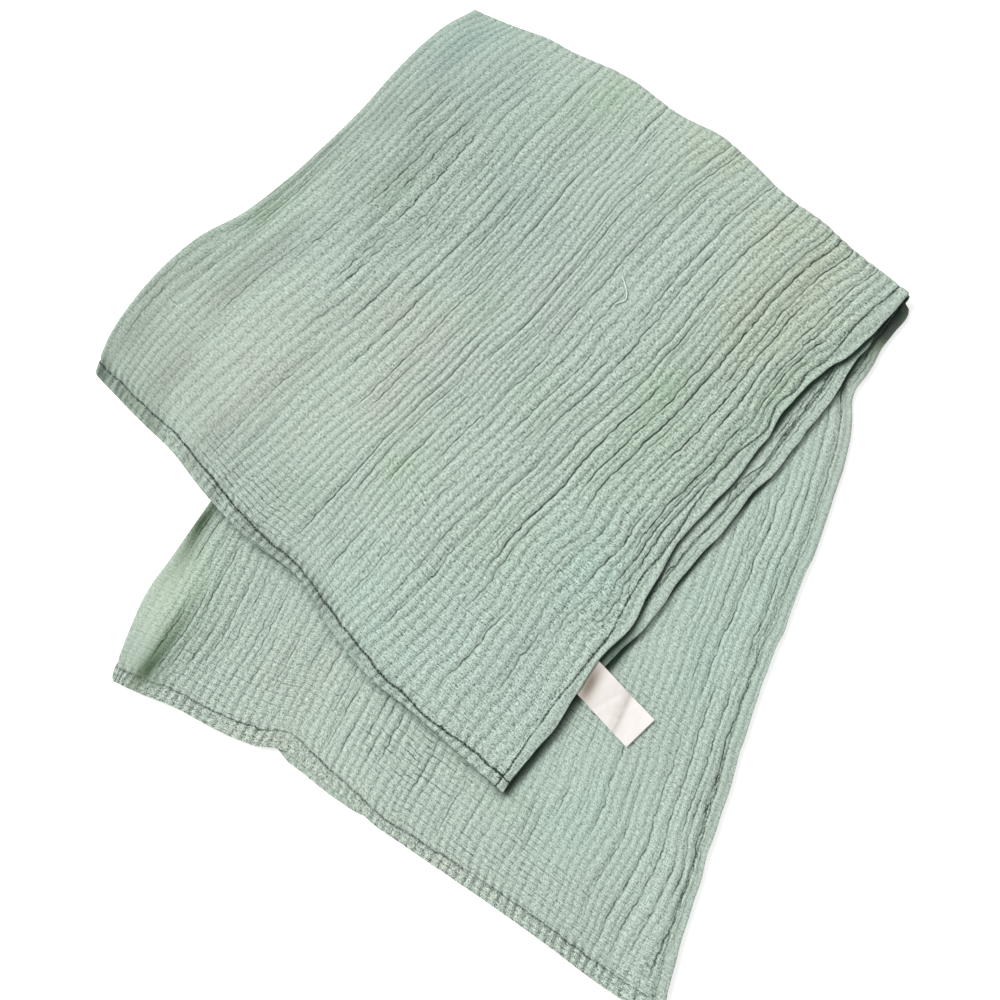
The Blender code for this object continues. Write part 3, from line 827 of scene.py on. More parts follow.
TOP_FACE = Face(
    TOP_LENGTH, TOP_CREASES, TOP_STRENGTH, side=Hem(TOP_SIDE_STITCHING, seed=120, darkness=1.6),
    end=Hem(TOP_END_STITCHING, seed=130, darkness=1.6, pucker=0.00105), seed=110,
)
LOW_FACE = Face(
    LOW_LENGTH, LOW_CREASES, LOW_STRENGTH, side=Hem(LOW_SIDE_STITCHING, seed=220, darkness=0.6),
    end=Hem(LOW_END_STITCHING, seed=230, darkness=0.75), seed=210, lumps=0.95, calm=LOW_CALM,
)
HIDDEN_STRENGTH = ((0.0, (0.3, 0.3, 0.3, 0.5)), (1.0, (0.3, 0.3, 0.3, 0.4)))
PEEPING_STRENGTH = ((0.0, (0.3, 0.3, 0.3, 1.0)), (1.0, (0.3, 0.3, 0.3, 0.7)))
HIDDEN_TOP_FACE = Face(
    TOP_LENGTH, INNER_CREASES, PEEPING_STRENGTH, side=Hem(INNER_SIDE_STITCHING, seed=320, depth=-0.0008),
    end=Hem(TOP_END_STITCHING, seed=330), seed=310,
)
HIDDEN_LOW_FACE = Face(
    LOW_LENGTH, (), HIDDEN_STRENGTH, side=Hem(LOW_SIDE_STITCHING, seed=420),
    end=Hem(LOW_END_STITCHING, seed=430), seed=410,
)
CRINKLES = Crinkles()


# ---------------------------------------------------------------- the folded sheet
class Stop(NamedTuple):
    """A stop on the way over the flat cloth, and the cells of the grid from the stop before it.

    share is the place on the flap, turn the angle round the fold, hem the angle round the hem's edge, and
    back how far the turned hem has come back, m.
    """

    share: float
    turn: float
    hem: float
    back: float
    cells: int


COLUMN_STOPS = (
    Stop(1.0, PI, PI, HEM_WIDTH, 0),
    Stop(1.0, PI, PI, 0.0, 2),
    Stop(1.0, PI, 0.0, 0.0, 1),
    Stop(0.0, PI, 0.0, 0.0, 96),
    Stop(0.0, 0.0, 0.0, 0.0, 2),
    Stop(1.0, 0.0, 0.0, 0.0, 96),
    Stop(1.0, 0.0, PI, 0.0, 1),
    Stop(1.0, 0.0, PI, HEM_WIDTH, 2),
)
HEM_RUN = 0.020  # the cells are short from here to the end hem
ROW_STOPS = (
    Stop(1.0, 0.0, PI, HEM_WIDTH, 0),
    Stop(1.0, 0.0, PI, 0.0, 1),
    Stop(1.0, 0.0, 0.0, 0.0, 1),
    Stop(1 - HEM_RUN / TOP_LENGTH, 0.0, 0.0, 0.0, 4),
    Stop(0.0, 0.0, 0.0, 0.0, 25),
    Stop(0.0, PI, 0.0, 0.0, 3),
    Stop(1 - HEM_RUN / LOW_LENGTH, PI, 0.0, 0.0, 32),
    Stop(1.0, PI, 0.0, 0.0, 4),
    Stop(1.0, PI, PI, 0.0, 1),
    Stop(1.0, PI, PI, HEM_WIDTH, 1),
)
SIDE_LOOP = 0.0066  # length of cloth in the lengthwise fold's turn
END_LOOP = 0.028  # and in the crosswise fold's
FINE_CUTS = 3  # how often a cell that shows is cut each way
COLUMN_CROWDING = 0.12  # crowds the columns towards the side hems, where the creases are sharpest


@dataclass
class Walk:
    """Places in one direction over the flat cloth, one value of each kind for every point."""

    share: Array
    turn: Array
    hem: Array
    back: Array

    @classmethod
    def over(cls, stops: Sequence[Stop], index: Array, crowding: float = 0.0) -> "Walk":
        """Read the stops at places counted in cells.

        Args:
            stops: the stops of this direction.
            index: cells from the first stop.
            crowding: how much closer the cells are at share 1.

        Returns:
            The places.
        """
        marks = np.cumsum([stop.cells for stop in stops])
        share, turn, hem, back = (
            np.interp(index, marks, [getattr(stop, name) for stop in stops])
            for name in ("share", "turn", "hem", "back")
        )
        return cls(share + crowding * share * (1 - share), turn, hem, back)


def cells(stops: Sequence[Stop]) -> int:
    """How many cells the stops take up."""
    return sum(stop.cells for stop in stops)


@dataclass
class FoldedPoints:
    """Points of the folded cloth.

    place is where each lies, and cloth where it was on the flat cloth in metres. ribs counts the crinkles'
    ribs, strength says how strongly they stand out, and pinch and seam hold the distance aside of the
    nearest crease and stitching, in millimetres, and how dark each is: the crease's line is painted shade.
    """

    place: Array
    cloth: Array
    ribs: Array
    strength: Array
    pinch: Array
    seam: Array


@dataclass(frozen=True)
class FoldedSquare:
    """The fold itself: it takes places on the flat cloth to places in space."""

    def fold(self, columns: Walk, rows: Walk) -> FoldedPoints:
        """Fold the cloth.

        Args:
            columns: places across the cloth.
            rows: places along it.

        Returns:
            The folded points.
        """
        inner, low = columns.turn / PI, (1 - np.cos(rows.turn)) / 2
        is_low = rows.turn > PI / 2
        across, side_depth = self.turned(columns, SIDE_HEM_RADIUS, FLAP_WIDTH, 0.0)
        from_hem = (across - 1) * FLAP_WIDTH / CORNER_RUN + 1 + HEM_WIDTH / CORNER_RUN
        end_radius = END_HEM_RADIUS + CORNER_ROUNDING * ease(from_hem)
        along_top, depth_top = self.turned(rows, end_radius, TOP_LENGTH, side_depth)
        along_low, depth_low = self.turned(rows, end_radius, LOW_LENGTH, side_depth)
        over = np.where(inner > 0.5, -1.0, 1.0) * across * FLAP_WIDTH + SIDE_LOOP / 2 * np.cos(columns.turn)
        on = np.where(is_low, -LOW_LENGTH * along_low, TOP_LENGTH * along_top)
        on = on + END_LOOP / 2 * np.cos(rows.turn)

        wobble = CRINKLES.wobble(over, on) / FLAP_WIDTH
        drawn, way = np.clip(across, 0, 1), np.clip(rows.share, 0, 1)
        across_top = across + smooth_over(TOP_GUIDES, TOP_STOPS, drawn, way) * (1 - inner) + wobble
        across_low = across + smooth_over(LOW_GUIDES, LOW_STOPS, drawn, way) * inner + wobble
        ribs = CRINKLES.ribs(over, on)
        height, strength, lines = self.relief(
            (inner, low), drawn, (across_top, along_top), (across_low, along_low),
            CRINKLES.rise(over, on, ribs),
        )
        rise = height - np.where(is_low, depth_low, depth_top)

        along_top = along_top * (1 - (1 - INNER_SHORT) * inner)
        peeping = ease((columns.share - PEEP_START) / 0.05) * ease((PEEP_END - columns.share) / 0.08)
        short = (1 - INNER_SHORT) * (1 - inner) * (1 - peeping)
        along_low = along_low * (1 - short - PEEP * inner * peeping)
        top_plan, top_middle, top_half = self.top(across_top, along_top, inner)
        low_plan, low_middle, low_half = self.low(across_low, along_low, inner)
        in_loop = (rows.turn > 1e-6) & (rows.turn < PI - 1e-6)
        half = (1 - low) * top_half + low * low_half
        radius = (top_middle - low_middle) / 2
        centre = np.where(in_loop, (top_middle + low_middle) / 2, np.where(is_low, low_middle, top_middle))
        reach = np.where(in_loop, radius, 0.0) + np.cos(columns.turn) * (half + rise)
        side_out = (1 - low)[:, None] * TOP_LEFT.outward + low[:, None] * LOW_LEFT.outward
        plan = np.where(is_low[:, None], low_plan, top_plan)
        plan = plan + (reach * np.sin(rows.turn))[:, None] * FOLD.outward
        plan = plan + (np.sin(columns.turn) * (half + rise))[:, None] * side_out
        place = np.column_stack([plan, centre + reach * np.cos(rows.turn)])
        return FoldedPoints(place, np.column_stack([over, on]), ribs, strength, lines[:, :2], lines[:, 2:])

    @staticmethod
    def relief(layer: tuple[Array, Array], drawn: Array, top: tuple[Array, Array], low: tuple[Array, Array],
               crinkles: Array) -> tuple[Array, Array, Array]:
        """Shape the faces of the four layers.

        Args:
            layer: 0 on outer layers and 1 on inner ones, then 0 on the top flap and 1 on the low one.
            drawn: shares across the flaps, in the crinkles' own lines.
            top: shares across and along the top flap, in plan.
            low: the same on the low flap.
            crinkles: rise of the fine crinkles at full strength, m.

        Returns:
            The rise, m, how strongly the cloth is crinkled, and the lines: the distance aside of the nearest
            crease, mm, and how dark its line of painted shade is, then the same two for the nearest
            stitching.
        """
        inside, below = layer
        weights = ((1 - inside) * (1 - below), inside * (1 - below), inside * below, (1 - inside) * below)
        on_flaps = ((TOP_FACE, top), (HIDDEN_TOP_FACE, top), (LOW_FACE, low), (HIDDEN_LOW_FACE, low))
        faces = [
            face.rise(np.clip(across, 0, 1), drawn, np.clip(along, 0, 1), crinkles)
            for face, (across, along) in on_flaps
        ]
        height, strength = (sum(weight * face[k] for weight, face in zip(weights, faces)) for k in (0, 1))
        nearest, every = np.argmax(weights, axis=0), np.arange(len(inside))
        lines = np.array([face[2:] for face in faces])[nearest, :, every]
        return height, strength, lines * (1000.0, 1.0, 1000.0, 1.0)

    @staticmethod
    def turned(walk: Walk, radius: Array | float, length: float,
               depth: Array | float) -> tuple[Array, Array]:
        """Turn the cloth under at a hem.

        Args:
            walk: places in the hem's direction.
            radius: of the turned edge, m.
            length: of the flap in this direction, m.
            depth: how deep under the face the cloth already lies, m.

        Returns:
            Each point's share along the flap, and its depth under the face, m.
        """
        outwards = (radius - depth) * np.sin(walk.hem) - walk.back - radius * ease((walk.share - 0.9) / 0.1)
        return walk.share + outwards / length, radius - (radius - depth) * np.cos(walk.hem)

    @staticmethod
    def top(across: Array, along: Array, inner: Array) -> tuple[Array, Array, Array]:
        """The top flap's layers.

        Args:
            across: shares across the flap.
            along: shares along it.
            inner: 0 on the outer layer, 1 on the inner one.

        Returns:
            The points in plan, the height of the middle between the layers, and half their distance.
        """
        outer_plan, inner_plan = TOP_OUTER.at(across, along), TOP_INNER.at(across, along)
        plan = (1 - inner)[:, None] * outer_plan + inner[:, None] * inner_plan
        half = half_gap(TOP_LEFT, plan)
        height = CLOTH / 2 + 2 * half_gap(LOW_LEFT, plan) + SPACING
        height += loft(FOLD.depth(plan), FOLD_LOFT, FOLD_LOFT_REACH)
        dropped = ease((-LOW_LEFT.depth(plan) - DROP_START) / DROP_RUN)
        height = (1 - dropped) * height + dropped * CLOTH / 2
        wider = TOP_INNER_RIGHT.out(along) - TOP_OUTER_RIGHT.out(along)
        ridged = across * (1 + inner * wider / TOP_HEM.length)
        height += ridge_heights(TOP_RIDGES, ridged, along, TOP_HEM.length, TOP_OUTER_RIGHT.length)
        return plan, height + half, half

    @staticmethod
    def low(across: Array, along: Array, inner: Array) -> tuple[Array, Array, Array]:
        """The low flap's layers.

        Args:
            across: shares across the flap.
            along: shares along it.
            inner: 0 on the outer layer, 1 on the inner one.

        Returns:
            The points in plan, the height of the middle between the layers, and half their distance.
        """
        outer_plan, inner_plan = LOW_OUTER.at(across, along), LOW_INNER.at(across, along)
        plan = (1 - inner)[:, None] * outer_plan + inner[:, None] * inner_plan
        covered = np.minimum(TOP_HEM.depth(plan), TOP_INNER_RIGHT.depth(plan))
        shown = ease(-covered / LOW_RIDGE_SHELTER)
        ridges = ridge_heights(LOW_RIDGES, across, along, LOW_HEM.length, LOW_INNER_RIGHT.length)
        half = half_gap(LOW_LEFT, plan) + shown * ridges / 2
        return plan, CLOTH / 2 + half, half


# ---------------------------------------------------------------- shader nodes
@dataclass(frozen=True)
class Value:
    """A node's output number, with arithmetic that adds Math nodes."""

    tree: "NodeTree"
    socket: Any

    def _math(self, operation: str, first: Any, second: Any) -> "Value":
        """Add one Math node."""
        return self.tree.add("ShaderNodeMath", {"operation": operation}, {0: first, 1: second})

    def __add__(self, other: Any) -> "Value":
        """Sum."""
        return self._math("ADD", self, other)

    __radd__ = __add__

    def __mul__(self, other: Any) -> "Value":
        """Product."""
        return self._math("MULTIPLY", self, other)

    __rmul__ = __mul__

    def __sub__(self, other: Any) -> "Value":
        """Difference."""
        return self._math("SUBTRACT", self, other)

    def __rsub__(self, other: Any) -> "Value":
        """Reflected difference."""
        return self._math("SUBTRACT", other, self)

    def __pow__(self, other: Any) -> "Value":
        """Power."""
        return self._math("POWER", self, other)

    def sine(self) -> "Value":
        """Sine."""
        return self._math("SINE", self, 0.0)

    def size(self) -> "Value":
        """Absolute value."""
        return self._math("ABSOLUTE", self, 0.0)

    def exponent(self) -> "Value":
        """The number e raised to this power."""
        return self._math("EXPONENT", self, 0.0)


@dataclass
class NodeTree:
    """A new material's nodes."""

    material: bpy.types.Material

    @classmethod
    def new(cls, name: str) -> "NodeTree":
        """Start a material with its Principled shader.

        Args:
            name: of the material.

        Returns:
            Its nodes.
        """
        material = bpy.data.materials.new(name)
        material.use_nodes = True
        return cls(material)

    def add(self, kind: str, settings: dict[str, Any], inputs: dict[Any, Any], output: Any = 0) -> Value:
        """Add one node.

        Args:
            kind: the node's type.
            settings: its own properties, set first.
            inputs: values or links of its sockets, by name or number.
            output: which output to return.

        Returns:
            The output.
        """
        node = self.material.node_tree.nodes.new(kind)
        for name, value in settings.items():
            setattr(node, name, value)
        for name, value in inputs.items():
            self.join(value, node.inputs[name])
        return Value(self, node.outputs[output])

    def join(self, value: Any, socket: Any) -> None:
        """Set a socket, or link it.

        Args:
            value: a number, a colour or a node's output.
            socket: the input that gets it.
        """
        if isinstance(value, Value):
            self.material.node_tree.links.new(value.socket, socket)
        else:
            socket.default_value = value

    def shader(self, **inputs: Any) -> None:
        """Set the Principled shader's sockets.

        Args:
            inputs: value of each, the spaces in its name as underscores.
        """
        principled = self.material.node_tree.nodes["Principled BSDF"]
        for name, value in inputs.items():
            self.join(value, principled.inputs[name.replace("_", " ")])

    def noise(self, at: Any, scale: float, detail: float) -> Value:
        """Noise from 0 to 1."""
        return self.add("ShaderNodeTexNoise", {}, {"Vector": at, "Scale": scale, "Detail": detail})

    def cloth_noise(self, at: Value, across: float, along: float, detail: float = 1.0) -> Value:
        """Noise from 0 to 1, its scale for each way of the cloth."""
        stretched = self.add("ShaderNodeMapping", {}, {"Vector": at, "Scale": (across, along, 1.0)})
        return self.noise(stretched, 1.0, detail)

    def axis(self, vector: Value, which: int) -> Value:
        """One part of a vector."""
        return self.add("ShaderNodeSeparateXYZ", {}, {"Vector": vector}, output=which)

    def attribute(self, name: str, output: str) -> Value:
        """A number or colour that the mesh holds at each point."""
        return self.add("ShaderNodeAttribute", {"attribute_name": name}, {}, output=output)

    def blend(self, amount: Any, first: Any, second: Any, way: str = "MIX") -> Value:
        """Mix of two colours."""
        settings = {"data_type": "RGBA", "blend_type": way}
        return self.add("ShaderNodeMix", settings, {0: amount, 6: first, 7: second}, output=2)

    def bump(self, height: Value, strength: float) -> Value:
        """Normal from a height in metres."""
        return self.add("ShaderNodeBump", {}, {"Height": height, "Strength": strength, "Distance": 1.0})


class Uneven(Enum):
    """The muslin's noises: the scale of each across and along the cloth, per metre."""

    FRAY = (520.0, 380.0)
    WAVER = (55.0, 130.0)
    VALLEYS = (90.0, 26.0)
    SWAY = (22.0, 12.0)
    BREAKS = (150.0, 120.0)
    PATCHES = (13.0, 13.0)
    DASHES = (70.0, 85.0)
    STITCH_GAPS = (160.0, 160.0)
    SPECKS = (1150.0, 1150.0)


class Weights(NamedTuple):
    """How much each part of the muslin's pattern, and of its painted shade, counts."""

    cross: float
    pinch: float
    seam: float
    threads: float
    grain: float
    valley: float = 0.0


@dataclass(frozen=True)
class MuslinFinish:
    """Matt crinkled double gauze in sage green."""

    colour: Colour = (0.585, 0.704, 0.606, 1.0)
    shade: Colour = (0.028, 0.052, 0.034, 1.0)
    roughness: float = 0.95
    cross_pitch: float = 0.0043
    thread_pitch: float = 0.0029
    grain: float = 0.0008
    grain_run: float = 0.0034
    pinch_width: float = 0.60  # mm, of a crease's dark line
    seam_width: float = 0.64  # mm, of a stitching's
    grain_mean: float = 1.525
    ground: float = 0.265  # how far the colour is from its lightest, where nothing else darkens it
    darkens: Weights = Weights(cross=0.17, pinch=0.64, seam=0.90, threads=-0.07, grain=1.75, valley=0.28)
    lifts: Weights = Weights(cross=-0.00030, pinch=-0.00090, seam=-0.00090, threads=0.00014, grain=0.00030)

    def material(self) -> bpy.types.Material:
        """Make the finish.

        Returns:
            The material, on the piece's own UV map, which is the cloth in metres, and on its attributes.
        """
        tree = NodeTree.new("muslin")
        cloth = tree.add("ShaderNodeUVMap", {"uv_map": "cloth"}, {})
        # tone holds the dye's unevenness with the patches of painted shade and the painted shade of the gaps
        # beside covering layers.
        tone, crossed = tree.attribute("tone", "Color"), tree.attribute("tone", "Alpha")
        ribs, strength = tree.attribute("ribs", "Fac"), tree.attribute("strength", "Fac")
        y = tree.axis(cloth, 1)
        noise = {kind: tree.cloth_noise(cloth, *kind.value) for kind in Uneven}
        fray, waver = noise[Uneven.FRAY] - 0.5, noise[Uneven.WAVER] - 0.5

        profile = ((ribs + fray * 0.18 + waver * 0.32) * PI).sine().size()
        # valley is painted shade in the narrow valleys between the ribs.
        valley = (1.0 - profile) ** 1.5 * (noise[Uneven.VALLEYS] + 0.5) * (strength * 0.75 + 0.30)

        # The faint lines across the crinkles, each pair of ribs with its own shift, and the threads.
        own = tree.add("ShaderNodeMath", {"operation": "FLOOR"}, {0: ribs * 0.5})
        shift = tree.add("ShaderNodeTexWhiteNoise", {"noise_dimensions": "1D"}, {"W": own})
        bent = noise[Uneven.SWAY] * 3.2 + fray * 0.9
        cross = (y * (PI / self.cross_pitch) + shift * 1.2 + bent).sine().size()
        broken, patchy = noise[Uneven.BREAKS], noise[Uneven.PATCHES] * 3.2 - 0.7
        cross = (1.0 - cross) ** 4.0 * (broken * 3.2 - 0.7) * (strength * 0.4 + 0.35) * patchy * crossed
        threads = (y * (2 * PI / self.thread_pitch) + bent * 0.5).sine() * broken

        # pinch is the creases' lines of painted shade, broken into dashes; seam is the stitching's dark
        # line.
        pinch = self.line(tree, "pinch", fray * 1.5 + waver * 4.0, self.pinch_width)
        pinch = pinch * (noise[Uneven.DASHES] * 2.4 - 0.2)
        seam = self.line(tree, "seam", fray * 1.8, self.seam_width)
        seam = seam * (noise[Uneven.STITCH_GAPS] * 2.6 - 0.2)

        warp = tree.cloth_noise(cloth, 1.0 / self.grain, 1.0 / self.grain_run)
        weft = tree.cloth_noise(cloth, 1.0 / self.grain_run, 1.0 / self.grain)
        grain = warp * 0.9 + weft * 0.9 + noise[Uneven.SPECKS] * 1.25 - self.grain_mean
        grain = grain * (0.27 + strength * 0.62)
        lift, by = self.lifts, self.darkens
        height = profile * (strength * 0.00045 + 0.00012) + cross * lift.cross + threads * lift.threads
        height = height + grain * lift.grain + pinch * lift.pinch + seam * lift.seam
        # dark sums the painted shade of the rib valleys and creases with the stitching's dark line, the
        # lines across, the threads and the grain.
        dark = valley * by.valley + cross * by.cross + pinch * by.pinch + seam * by.seam
        dark = dark + threads * by.threads + grain * by.grain + self.ground
        dyed_and_shaded = tree.blend(1.0, self.colour, tone, "MULTIPLY")
        tree.shader(
            Base_Color=tree.blend(dark, dyed_and_shaded, self.shade), Roughness=self.roughness,
            Normal=tree.bump(height, 1.0), Sheen_Weight=0.15, Sheen_Roughness=0.6, Specular_IOR_Level=0.2,
        )
        return tree.material

    @staticmethod
    def line(tree: NodeTree, name: str, frayed: Value, width: float) -> Value:
        """A thin dark line, from an attribute that holds the distance aside, mm, and the darkness.

        Args:
            tree: the material's nodes.
            name: of the attribute.
            frayed: what moves the line aside, mm.
            width: of the line, mm.

        Returns:
            How much of the line shows at each point.
        """
        pair = tree.attribute(name, "Vector")
        aside = (tree.axis(pair, 0) + frayed) * (1.0 / width)
        return (aside * aside * -1.0).exponent() * tree.axis(pair, 1)


@dataclass(frozen=True)
class SatinFinish:
    """White satin ribbon, with its fine ribs across, and painted shade near the seam and in its creases."""

    colour: Colour = (0.862, 0.818, 0.778, 1.0)
    painted_shade: Colour = (0.235, 0.195, 0.150, 1.0)
    roughness: float = 0.5
    rib_pitch: float = 0.0006
    shade_at: tuple[float, float] = (-0.003, 0.0160)
    shade_run: tuple[float, float] = (0.020, 0.0070)
    shade_slant: float = 0.30
    crease_at: float = 0.0478
    crease_run: float = 0.004
    crease_slant: float = 0.37
    rib_height: float = 0.000015
    cloud_height: float = 0.0006

    def material(self) -> bpy.types.Material:
        """Make the finish.

        Returns:
            The material, on the ribbon's own UV map.
        """
        tree = NodeTree.new("label_satin")
        ribbon = tree.add("ShaderNodeUVMap", {"uv_map": "cloth"}, {})
        x, y = tree.axis(ribbon, 0), tree.axis(ribbon, 1)
        ribs = (y * (2 * PI / self.rib_pitch)).sine()
        clouds = tree.cloth_noise(ribbon, 120.0, 90.0, detail=3.0)
        # Painted brownish shade near the sewn end, by the hem's edge, and along the pressed crease, mottled
        # by the clouds.
        aside = (x - self.shade_at[0]) * (1.0 / self.shade_run[0])
        beyond = (y + x * self.shade_slant - self.shade_at[1]) * (1.0 / self.shade_run[1])
        crease = (y + x * self.crease_slant - self.crease_at) * (1.0 / self.crease_run)
        painted_shade = ((beyond * beyond + aside * aside) * -1.0).exponent()
        painted_shade = painted_shade + (crease * crease * -1.0).exponent() * clouds * 0.75
        base = tree.blend(painted_shade + clouds * 0.06, self.colour, self.painted_shade)
        height = ribs * self.rib_height + clouds * self.cloud_height
        tree.shader(
            Base_Color=base, Roughness=self.roughness, Normal=tree.bump(height, 1.0), Sheen_Weight=0.1
        )
        return tree.material


@dataclass(frozen=True)
class ThreadFinish:
    """Twisted sewing thread."""

    name: str
    colour: Colour

    def material(self) -> bpy.types.Material:
        """Make the finish.

        Returns:
            The material, its twist on Object coordinates.
        """
        tree = NodeTree.new(self.name)
        place = tree.add("ShaderNodeTexCoord", {}, {}, output="Object")
        twist = tree.noise(place, 1800.0, 1.0)
        dark = tuple(0.7 * part for part in self.colour[:3]) + (1.0,)
        tree.shader(
            Base_Color=tree.blend(twist, dark, self.colour), Roughness=0.8,
            Normal=tree.bump(twist * 0.0002, 1.0),
        )
        return tree.material


@dataclass(frozen=True)
class FloorFinish:
    """Plain pale paper, lit a little from below as on a light table."""

    glow: float = 0.45

    def material(self) -> bpy.types.Material:
        """Make the finish.

        Returns:
            The material, with the faintest grain.
        """
        tree = NodeTree.new("pale_floor")
        place = tree.add("ShaderNodeTexCoord", {}, {}, output="Object")
        grain = tree.noise(place, 6.0, 2.0)
        tree.shader(
            Base_Color=tree.blend(grain, (0.93, 0.93, 0.93, 1.0), (0.95, 0.95, 0.95, 1.0)), Roughness=0.9,
            Emission_Color=(1.0, 1.0, 1.0, 1.0), Emission_Strength=self.glow,
        )
        return tree.material


# ---------------------------------------------------------------- pieces
def deselect_everything() -> None:
    """Leave object mode with nothing selected."""
    if bpy.context.mode != "OBJECT":
        bpy.ops.object.mode_set(mode="OBJECT")
    bpy.ops.object.select_all(action="DESELECT")


def new_grid(name: str, columns: int, rows: int) -> bpy.types.Object:
    """Add a flat grid, one unit square, as the active object.

    Args:
        name: of the piece.
        columns: its cells across.
        rows: its cells along.

    Returns:
        The grid.
    """
    deselect_everything()
    bpy.ops.mesh.primitive_grid_add(x_subdivisions=columns, y_subdivisions=rows, size=1.0)
    grid = bpy.context.active_object
    grid.name = grid.data.name = name
    return grid


def cut_cells(grid: bpy.types.Object, chosen: Array, cuts: int) -> None:
    """Subdivide some of a grid's cells.

    Args:
        grid: the active object.
        chosen: true for each face to cut.
        cuts: how many times.
    """
    bpy.ops.object.mode_set(mode="EDIT")
    bpy.ops.mesh.select_mode(type="FACE")
    bpy.ops.mesh.select_all(action="DESELECT")
    bpy.ops.object.mode_set(mode="OBJECT")
    grid.data.polygons.foreach_set("select", chosen)
    bpy.ops.object.mode_set(mode="EDIT")
    bpy.ops.mesh.subdivide(number_cuts=cuts)
    bpy.ops.object.mode_set(mode="OBJECT")


def read_vectors(items: Any, name: str) -> Array:
    """Read one property of all of a mesh's vertices or faces.

    Args:
        items: the vertices or faces.
        name: the property's name.

    Returns:
        Three numbers for each.
    """
    flat = np.empty(3 * len(items))
    items.foreach_get(name, flat)
    return flat.reshape(-1, 3)


def move_points(piece: bpy.types.Object, points: Array) -> None:
    """Put a mesh's vertices at these points."""
    piece.data.vertices.foreach_set("co", points.ravel())
    piece.data.update()


def set_uv(piece: bpy.types.Object, places: Array) -> None:
    """Give a mesh one UV map, called cloth.

    Args:
        piece: the mesh's object.
        places: two numbers for each vertex.
    """
    mesh = piece.data
    while mesh.uv_layers:
        mesh.uv_layers.remove(mesh.uv_layers[0])
    layer = mesh.uv_layers.new(name="cloth")
    corners = np.empty(len(mesh.loops), dtype=np.int32)
    mesh.loops.foreach_get("vertex_index", corners)
    layer.data.foreach_set("uv", places[corners].ravel())


def shade_smooth(piece: bpy.types.Object) -> None:
    """Shade every face smooth."""
    piece.data.polygons.foreach_set("use_smooth", np.ones(len(piece.data.polygons), dtype=bool))


def dress_piece(piece: bpy.types.Object, material: bpy.types.Material, node: str = "") -> None:
    """Give a piece its finish, hang it on the root body, and hide the part node that it replaces, if any.

    Args:
        piece: the piece.
        material: its finish.
        node: the node that it replaces, if any.
    """
    piece.data.materials.clear()
    piece.data.materials.append(material)
    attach(piece, "root")
    if node:
        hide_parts(node)


